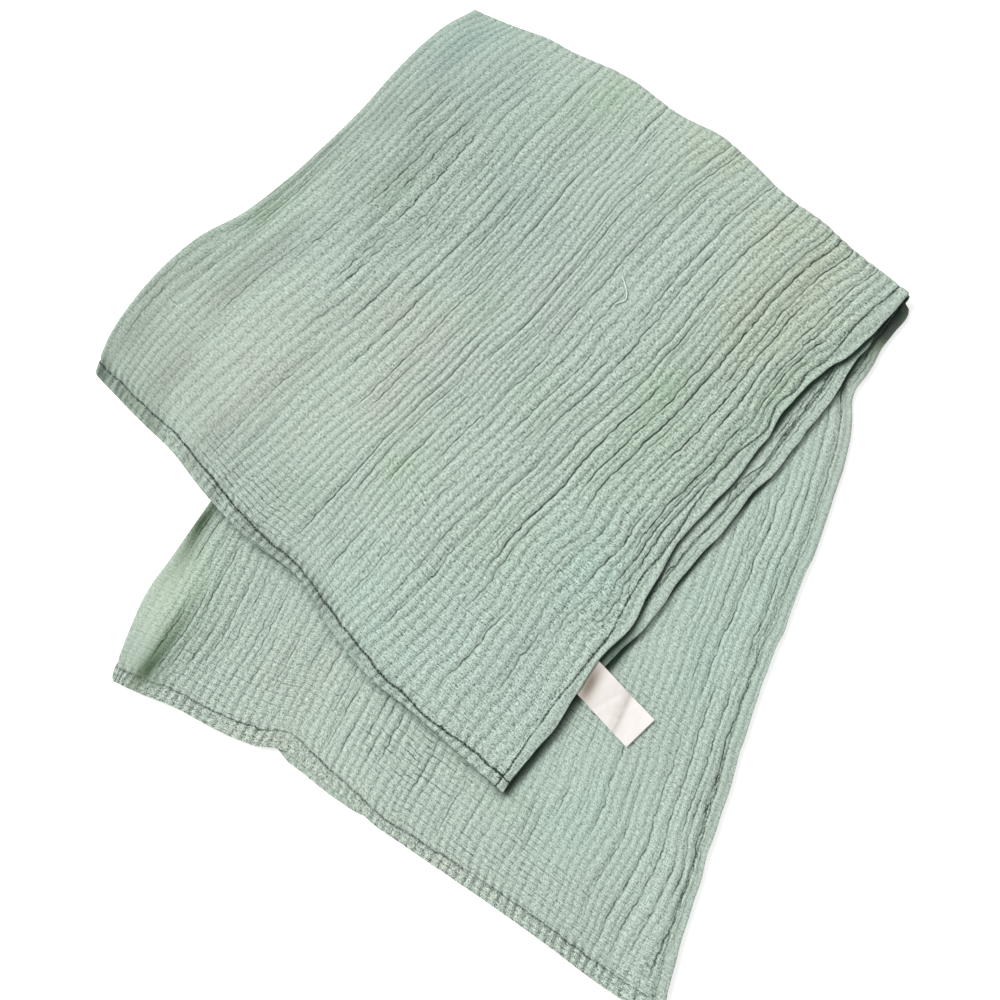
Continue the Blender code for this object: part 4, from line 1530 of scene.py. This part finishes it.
@dataclass
class Blanket:
    """The folded blanket: one sheet of cloth."""

    square: FoldedSquare = field(default_factory=FoldedSquare)
    margin: float = 0.014  # the low flap's cells that lie this far under the top flap stay coarse
    side_peeps: tuple[float, float] = (0.94, 0.85)  # from this share across, and up to this one along
    end_peeps: tuple[float, float, float] = (0.26, 0.50, 0.97)  # between these across, from this along
    loop_opens: float = 0.85  # the crosswise fold's inner loop shows from this share across
    slack: float = 0.01  # of angles and shares, where they are compared
    piece: bpy.types.Object | None = None

    def walks(self, items: Any, name: str, cuts: int = 0) -> tuple[Walk, Walk]:
        """Places on the flat cloth of the grid's points or faces.

        Args:
            items: the mesh's vertices or faces.
            name: their property that holds the place, from -0.5 to 0.5 each way.
            cuts: where given, places are rounded to cells cut this often.

        Returns:
            The places across and along.
        """
        index = read_vectors(items, name) + 0.5
        column, row = index[:, 0] * cells(COLUMN_STOPS), index[:, 1] * cells(ROW_STOPS)
        if cuts:
            column, row = (np.round(part * (cuts + 1)) / (cuts + 1) for part in (column, row))
        return Walk.over(COLUMN_STOPS, column, COLUMN_CROWDING), Walk.over(ROW_STOPS, row)

    def shows(self, columns: Walk, rows: Walk) -> Array:
        """Which cells of the grid can be seen, and are cut finer.

        Args:
            columns: the cells' places across.
            rows: their places along.

        Returns:
            True for each cell that shows.
        """
        outer, inner = columns.turn < PI / 2 + 0.1, columns.turn > PI / 2 - 0.1
        top, low = rows.turn < self.slack, rows.turn > PI - self.slack
        plan = LOW_INNER.at(columns.share, rows.share)
        covered = np.minimum(TOP_HEM.depth(plan), TOP_OUTER_RIGHT.depth(plan)) > self.margin
        turned_back = (rows.hem > PI - self.slack) & (rows.back > 0)
        first, last, near_hem = self.end_peeps
        shown = top & outer
        shown |= top & (columns.turn > self.slack) & (columns.share < self.slack)
        shown |= top & inner & (columns.share > self.side_peeps[0]) & (rows.share < self.side_peeps[1])
        shown |= low & (inner | (columns.share < 2 * self.slack)) & ~covered
        shown |= low & outer & (columns.share > first) & (columns.share < last) & (rows.share > near_hem)
        shown |= ~top & ~low & (outer | (columns.share > self.loop_opens))
        return shown & ~(turned_back & low & outer)

    def build(self) -> bpy.types.Object:
        """Cut the square of cloth and fold it.

        Returns:
            The piece.
        """
        self.piece = new_grid("folded_blanket", cells(COLUMN_STOPS), cells(ROW_STOPS))
        mesh = self.piece.data
        cut_cells(self.piece, self.shows(*self.walks(mesh.polygons, "center")), FINE_CUTS)
        columns, rows = self.walks(mesh.vertices, "co", FINE_CUTS)
        folded = self.square.fold(columns, rows)
        move_points(self.piece, folded.place)
        set_uv(self.piece, folded.cloth)
        tone = self.dye_and_shade(columns, rows, folded.cloth)
        self.shade_gaps(tone, columns, rows, folded.place[:, :2])
        lines = (np.column_stack([pair, 0 * folded.ribs]) for pair in (folded.pinch, folded.seam))
        colours = mesh.color_attributes.new(name="tone", type="FLOAT_COLOR", domain="POINT")
        colours.data.foreach_set("color", tone.ravel())
        self.store("ribs", "FLOAT", "value", folded.ribs)
        self.store("strength", "FLOAT", "value", folded.strength)
        for name, numbers in zip(("pinch", "seam"), lines):
            self.store(name, "FLOAT_VECTOR", "vector", numbers)
        shade_smooth(self.piece)
        return self.piece

    def store(self, name: str, kind: str, part: str, numbers: Array) -> None:
        """Keep numbers at the mesh's points, as an attribute that the finish reads."""
        attribute = self.piece.data.attributes.new(name=name, type=kind, domain="POINT")
        attribute.data.foreach_set(part, numbers.ravel())

    @staticmethod
    def dye_and_shade(columns: Walk, rows: Walk, cloth: Array) -> Array:
        """The dye's unevenness with patches of painted shade, and how much the lines across the crinkles
        stand out.

        Args:
            columns: places across.
            rows: places along.
            cloth: places on the flat cloth, m.

        Returns:
            Four numbers for each point: shares of red, green and blue, then how much the lines stand out.
        """
        tone = np.ones((len(cloth), 4))
        uneven = 1 + mixed(PATCH_RIPPLES, *cloth.T)
        faces = (
            (TOP_TINT_AND_SHADE_PATCHES, TOP_CROSSED, (rows.turn <= PI / 2) & (columns.turn < PI / 2)),
            (LOW_TINT_AND_SHADE_PATCHES, LOW_CROSSED, (rows.turn > PI / 2) & (columns.turn > PI / 2)),
        )
        for patches, crossed, chosen in faces:
            place = columns.share[chosen], rows.share[chosen]
            for spot in crossed:
                tone[chosen, 3] += spot.amount * np.exp(-SPOT_FALL * spot.far(*place))
            # Each patch adds a dye tint, and the grey ones add painted shade.
            for tint_and_shade, row in ((tint_and_shade, row) for tint_and_shade, spots in patches.items() for row in spots):
                spot = Spot(*row)
                amount = spot.amount * np.exp(-SPOT_FALL * spot.far(*place)) * uneven[chosen]
                tone[chosen, :3] += amount[:, None] * np.array(tint_and_shade.value)
        tone[:, :3] = np.maximum(tone[:, :3], DARKEST_TONE)
        return tone

    @staticmethod
    def shade_gaps(tone: Array, columns: Walk, rows: Walk, plan: Array) -> None:
        """Darken the narrow gaps beside the layers that lie on others.

        Args:
            tone: the tone of each point, changed in place.
            columns: places across.
            rows: places along.
            plan: the folded points in plan.
        """
        on_top, inside = rows.turn <= PI / 2, columns.turn > PI / 2
        outer, inner, end = (edge.depth(plan) for edge in (TOP_OUTER_RIGHT, TOP_INNER_RIGHT, TOP_HEM))
        beside = (
            (OUTER_GAP, TOP_OUTER_RIGHT, outer, end, on_top & inside),
            (INNER_GAP, TOP_OUTER_RIGHT, np.maximum(outer, inner), end, ~on_top & inside),
            (END_GAP, TOP_HEM, end, np.maximum(outer, inner), ~on_top & inside),
        )
        for shade, edge, depth, other, chosen in beside:
            width = smooth_through(shade.widths, edge.beside(plan))
            dark = shade.darkness * np.exp(-((np.maximum(-depth, 0.0) / width) ** SHADE_FALL))
            dark *= chosen * (depth < 4 * width) * ease(other / width + 1)
            tone[:, :3] *= 1 - dark[:, None] * np.array(SHADE_TINT)

    def dress(self, with_pieces: Sequence[bpy.types.Object]) -> None:
        """Give the cloth its finish, hang it on the root body and hide the blanket part.

        Args:
            with_pieces: what is sewn to it; not used.
        """
        dress_piece(self.piece, MuslinFinish().material(), "blanket")


class Pressed(NamedTuple):
    """A soft crease pressed across the ribbon: where it is, m, how it slants, its width and its height."""

    distance: float
    slant: float
    width: float
    height: float


@dataclass
class CareLabel:
    """The sewn-in label: a bare satin ribbon folded in half, with both its ends under the side hem."""

    width: float = 0.030
    length: float = 0.070
    root: tuple[float, float] = (0.0506, -0.1981)
    direction: tuple[float, float] = (0.674, -0.738)
    heights: tuple[tuple[float, float], ...] = (
        (0.000, 0.0096), (0.020, 0.0096), (0.026, 0.0095), (0.036, 0.0084), (0.046, 0.0074),
        (0.056, 0.0072), (0.070, 0.0074),
    )
    fold_radius: float = 0.00028
    curl: float = 0.0011
    creases: tuple[Pressed, ...] = (
        Pressed(0.0485, -0.37, 0.0016, 0.00045), Pressed(0.036, 0.25, 0.0022, -0.00030),
    )
    waves: Ripple = Ripple(601, 0.011, 0.013)
    wave_height: float = 0.00016
    ply_cells: int = 52
    turn_cells: int = 8
    cells_across: int = 20
    piece: bpy.types.Object | None = None

    @property
    def flat_length(self) -> float:
        """The ribbon's whole length."""
        return 2 * (self.length - self.fold_radius) + PI * self.fold_radius

    def build(self) -> bpy.types.Object:
        """Cut the ribbon, fold it and lay it down.

        Returns:
            The piece.
        """
        rows = 2 * self.ply_cells + self.turn_cells
        self.piece = new_grid("care_label_ribbon", self.cells_across, rows)
        index = read_vectors(self.piece.data.vertices, "co")
        straight, turn = self.length - self.fold_radius, PI * self.fold_radius
        marks = (0, self.ply_cells, self.ply_cells + self.turn_cells, rows)
        runs = (0.0, straight, straight + turn, 2 * straight + turn)
        run = np.interp((index[:, 1] + 0.5) * rows, marks, runs)
        angle = np.clip((run - straight) / self.fold_radius, 0.0, PI)
        distance = np.where(run < straight, run, self.flat_length - run)
        distance = np.where((angle > 0) & (angle < PI), straight, distance)
        distance = distance + self.fold_radius * np.sin(angle)
        aside = index[:, 0] * self.width

        direction = np.array(self.direction)
        sideways = np.array([direction[1], -direction[0]])
        plan = np.array(self.root) + distance[:, None] * direction - aside[:, None] * sideways
        height = smooth_through(self.heights, distance) + self.fold_radius * np.cos(angle)
        height += self.shape(distance, aside)
        move_points(self.piece, np.column_stack([plan, height]))
        set_uv(self.piece, np.column_stack([aside, run]))
        shade_smooth(self.piece)
        return self.piece

    def shape(self, distance: Array, aside: Array) -> Array:
        """How the ribbon curls at its free corners, and the soft creases it has had pressed into it.

        Args:
            distance: from the sewn end, m.
            aside: from the ribbon's middle, m.

        Returns:
            The rise, m.
        """
        free = ease((distance - 0.030) / 0.040)
        curl = self.curl * free * (aside / (self.width / 2)) ** 2 * (1 + 0.5 * np.sign(aside))
        creased = np.zeros_like(distance)
        for crease in self.creases:
            beyond = (distance - crease.distance - crease.slant * aside) / crease.width
            creased += crease.height * np.exp(-(beyond**2)) * ease((distance - 0.026) / 0.01)
        wavy = self.waves.at(aside, distance) * self.wave_height * ease((distance - 0.020) / 0.01)
        return curl + creased + wavy

    def dress(self) -> None:
        """Give the ribbon its finish, hang it on the root body and hide the care label part."""
        dress_piece(self.piece, SatinFinish().material(), "care_label")


class Surface:
    """The folded blanket's upper side, as something that thread can be laid on."""

    def __init__(self, blanket: bpy.types.Object) -> None:
        """Read the blanket's mesh.

        Args:
            blanket: the folded blanket.
        """
        self.tree = BVHTree.FromObject(blanket, bpy.context.evaluated_depsgraph_get())

    def under(self, point: Array) -> tuple[Array, Array] | None:
        """The uppermost cloth at a point in plan.

        Args:
            point: only its x and y are used.

        Returns:
            The place on the cloth and its normal, or None past the edge.
        """
        place, normal, _, _ = self.tree.ray_cast((point[0], point[1], 0.2), (0.0, 0.0, -1.0))
        return None if place is None else (np.array(place), np.array(normal))


class StitchLine(NamedTuple):
    """One row of stitches: its layer and flap, whether it is on the end hem, and that hem's length."""

    name: str
    columns_turn: float
    rows_turn: float
    at_end: bool
    length: float


STITCH_LINES = (
    StitchLine("top_end", 0.0, 0.0, True, FLAP_WIDTH),
    StitchLine("top_side", 0.0, 0.0, False, TOP_LENGTH),
    StitchLine("inner_side", PI, 0.0, False, TOP_LENGTH),
    StitchLine("low_end", PI, PI, True, FLAP_WIDTH),
    StitchLine("low_side", PI, PI, False, LOW_LENGTH),
)


@dataclass
class HemStitches:
    """The hems' running stitches where they show: one is modelled, and the others are copies of it."""

    square: FoldedSquare
    surface: Surface
    length: float = 0.0022
    thickness: float = 0.00045
    pitch: float = 0.0032
    nearest: float = 0.002
    furthest: float = 0.018
    tries: int = 49
    hidden_below: float = 0.0025
    first: float = 0.02  # share of the hem's length where the stitches start
    last: float = 0.98
    sorted_from: tuple[float, float, float] = (1.0, 0.37, 0.21)  # no two faces are equally far from here
    piece: bpy.types.Object | None = None

    def on_line(self, line: StitchLine, beside: Array) -> Array:
        """Find the stitching at places along a hem.

        Args:
            line: the row of stitches.
            beside: shares along the hem.

        Returns:
            Where the stitching lies, three numbers each.
        """
        depths = np.linspace(self.nearest, self.furthest, self.tries)
        share, depth = (part.ravel() for part in np.meshgrid(beside, depths, indexing="ij"))
        zero = np.zeros_like(share)
        flap_length = LOW_LENGTH if line.rows_turn > 0 else TOP_LENGTH
        across = share if line.at_end else 1 - depth / FLAP_WIDTH
        along = 1 - depth / flap_length if line.at_end else share
        columns = Walk(across, zero + line.columns_turn, zero, zero)
        folded = self.square.fold(columns, Walk(along, zero + line.rows_turn, zero, zero))
        aside = np.abs(folded.seam[:, 0]).reshape(len(beside), self.tries)
        best = np.argmin(aside, axis=1)
        return folded.place.reshape(len(beside), self.tries, 3)[np.arange(len(beside)), best]

    def seed_stitch(self) -> bpy.types.Object:
        """Model one stitch, its faces sorted, as a sphere's come in another order each run.

        Returns:
            The stitch, along X.
        """
        deselect_everything()
        along_x = (0.0, PI / 2, 0.0)
        bpy.ops.mesh.primitive_uv_sphere_add(segments=6, ring_count=4, radius=0.5, rotation=along_x)
        stitch = bpy.context.active_object
        bpy.ops.object.transform_apply(rotation=True)
        bpy.ops.object.mode_set(mode="EDIT")
        bpy.ops.mesh.select_all(action="SELECT")
        bpy.context.scene.cursor.location = self.sorted_from
        bpy.ops.mesh.sort_elements(type="CURSOR_DISTANCE", elements={"VERT", "EDGE", "FACE"})
        bpy.context.scene.cursor.location = (0.0, 0.0, 0.0)
        bpy.ops.transform.resize(value=(self.length, self.thickness, self.thickness))
        bpy.ops.object.mode_set(mode="OBJECT")
        return stitch

    def build(self) -> bpy.types.Object:
        """Sew every hem that shows.

        Returns:
            All the stitches as one piece.
        """
        seed = self.seed_stitch()
        copies = []
        for line in STITCH_LINES:
            middles = np.arange(self.first, self.last, self.pitch / line.length)
            half = self.length / 2 / line.length
            starts, ends = self.on_line(line, middles - half), self.on_line(line, middles + half)
            for start, end in zip(starts, ends):
                copies.extend(self.sew(seed, start, end))
        bpy.data.objects.remove(seed)
        deselect_everything()
        for stitch in copies:
            stitch.select_set(True)
        bpy.context.view_layer.objects.active = copies[0]
        bpy.ops.object.join()
        self.piece = copies[0]
        self.piece.name = self.piece.data.name = "hem_stitches"
        shade_smooth(self.piece)
        return self.piece

    def sew(self, seed: bpy.types.Object, start: Array, end: Array) -> list[bpy.types.Object]:
        """Copy one stitch onto the cloth, unless another layer covers it.

        Args:
            seed: the modelled stitch.
            start: where it starts.
            end: where it ends.

        Returns:
            The copy, or nothing.
        """
        found = self.surface.under((start + end) / 2)
        if found is None or abs(found[0][2] - (start + end)[2] / 2) > self.hidden_below:
            return []
        place, up = found
        forward = end - start
        forward = forward - up * (forward @ up)
        forward = forward / max(np.linalg.norm(forward), 1e-9)
        turned = np.eye(4)
        turned[:3, 0], turned[:3, 1], turned[:3, 2] = forward, np.cross(up, forward), up
        turned[:3, 3] = place + up * self.thickness * 0.2
        stitch = seed.copy()
        stitch.data = seed.data.copy()
        stitch.data.transform(Matrix(turned.tolist()))
        bpy.context.scene.collection.objects.link(stitch)
        return [stitch]

    def dress(self) -> None:
        """Give the stitches their finish, and hang them on the root body."""
        dress_piece(self.piece, ThreadFinish("hem_thread", (0.40, 0.49, 0.42, 1.0)).material())


@dataclass
class LooseThread:
    """A loose end of yarn that lies on the top flap."""

    square: FoldedSquare
    surface: Surface
    diameter: float = 0.0010
    path: tuple[tuple[float, float], ...] = (
        (.6165, .2988), (.6268, .3038), (.6371, .3105), (.6433, .3172), (.6454, .3255), (.6412, .3339),
        (.6371, .3422),
    )  # shares across and along the top flap
    cuts: int = 4
    route: Array = field(default_factory=lambda: np.zeros((0, 3)))
    piece: bpy.types.Object | None = None

    def laid(self, points: int) -> Array:
        """Lay the thread's middle line on the cloth.

        Args:
            points: how many points it has.

        Returns:
            The points.
        """
        marks, at = np.linspace(0.0, 1.0, len(self.path)), np.linspace(0.0, 1.0, points)
        across, along = (smooth_through(list(zip(marks, column)), at) for column in zip(*self.path))
        zero = np.zeros_like(across)
        plan = self.square.fold(Walk(across, zero, zero, zero), Walk(along, zero, zero, zero)).place
        laid = np.array([self.surface.under(point)[0] for point in plan])
        laid[:, 2] += 1.2 * self.diameter
        return laid

    def build(self) -> bpy.types.Object:
        """Lay the thread.

        Returns:
            The piece.
        """
        deselect_everything()
        bpy.ops.curve.primitive_nurbs_path_add()
        self.piece = bpy.context.active_object
        self.piece.name = self.piece.data.name = "loose_thread"
        bpy.ops.object.mode_set(mode="EDIT")
        bpy.ops.curve.select_all(action="SELECT")
        bpy.ops.curve.subdivide(number_cuts=self.cuts)
        bpy.ops.object.mode_set(mode="OBJECT")
        spline = self.piece.data.splines[0]
        self.route = self.laid(len(spline.points))
        for point, place in zip(spline.points, self.route):
            point.co = (*place, 1.0)
        self.piece.location = (0.0, 0.0, 0.0)
        self.piece.data.bevel_depth = self.diameter / 2
        self.piece.data.bevel_resolution = 2
        return self.piece

    def dress(self) -> None:
        """Give the thread its finish, and hang it on the root body."""
        dress_piece(self.piece, ThreadFinish("loose_yarn", (0.86, 0.92, 0.85, 1.0)).material())


# ---------------------------------------------------------------- floor, lights and camera
@dataclass(frozen=True)
class Studio:
    """Plain pale floor, soft light and the photograph's camera."""

    camera_place: tuple[float, float, float] = (-0.0087, -0.3555, 0.816)
    camera_tilt: float = 20.0
    lens: float = 37.8
    sensor: float = 36.0
    floor_size: float = 14.0
    key_place: tuple[float, float, float] = (-3.6, 2.3, 4.4)
    key_size: float = 2.0
    key_power: float = 340.0
    surround: float = 0.56

    def floor(self) -> bpy.types.Object:
        """Lay the floor.

        Returns:
            The floor.
        """
        deselect_everything()
        bpy.ops.mesh.primitive_plane_add(size=self.floor_size, location=(0.0, 0.0, 0.0))
        floor = bpy.context.active_object
        floor.name = "floor"
        floor.data.materials.append(FloorFinish().material())
        return floor

    def camera(self) -> None:
        """Set up the camera."""
        data = bpy.data.cameras.new("photo_camera")
        data.lens, data.sensor_width = self.lens, self.sensor
        data.clip_start = 0.01
        camera = bpy.data.objects.new("photo_camera", data)
        camera.location = self.camera_place
        camera.rotation_euler = (math.radians(self.camera_tilt), 0.0, 0.0)
        bpy.context.scene.collection.objects.link(camera)
        bpy.context.scene.camera = camera

    def key(self) -> None:
        """Hang a soft square lamp at the upper left that faces the middle of the blanket."""
        data = bpy.data.lights.new("key", "AREA")
        data.size, data.energy = self.key_size, self.key_power
        lamp = bpy.data.objects.new("key", data)
        lamp.location = self.key_place
        x, y, z = self.key_place
        lamp.rotation_euler = (math.acos(z / math.hypot(x, y, z)), 0.0, math.atan2(y, x) + PI / 2)
        bpy.context.scene.collection.objects.link(lamp)

    def light(self) -> None:
        """Light the scene: the key lamp and an even white surround."""
        world = bpy.data.worlds.new("studio")
        world.use_nodes = True
        background = world.node_tree.nodes["Background"]
        background.inputs["Color"].default_value = (1.0, 1.0, 1.0, 1.0)
        background.inputs["Strength"].default_value = self.surround
        bpy.context.scene.world = world
        self.key()
        view = bpy.context.scene.view_settings
        view.view_transform = "Standard"
        view.look = "None"


def main() -> None:
    """Build the blanket and its surroundings, and report each piece."""
    logging.basicConfig(level=logging.INFO, format="%(message)s")
    studio = Studio()
    studio.camera()
    studio.light()
    studio.floor()

    blanket = Blanket()
    folded = blanket.build()
    surface = Surface(folded)
    stitches = HemStitches(blanket.square, surface)
    stitches.build()
    blanket.dress(with_pieces=[stitches.piece])
    stitches.dress()
    label = CareLabel()
    label.build()
    label.dress()
    thread = LooseThread(blanket.square, surface)
    thread.build()
    thread.dress()
    for piece in (folded, stitches.piece, label.piece):
        piece.data.calc_loop_triangles()
        LOG.info("%s: %d triangles", piece.name, len(piece.data.loop_triangles))
    LOG.info("%s: %d points", thread.piece.name, len(thread.route))


if __name__ == "__main__":
    main()
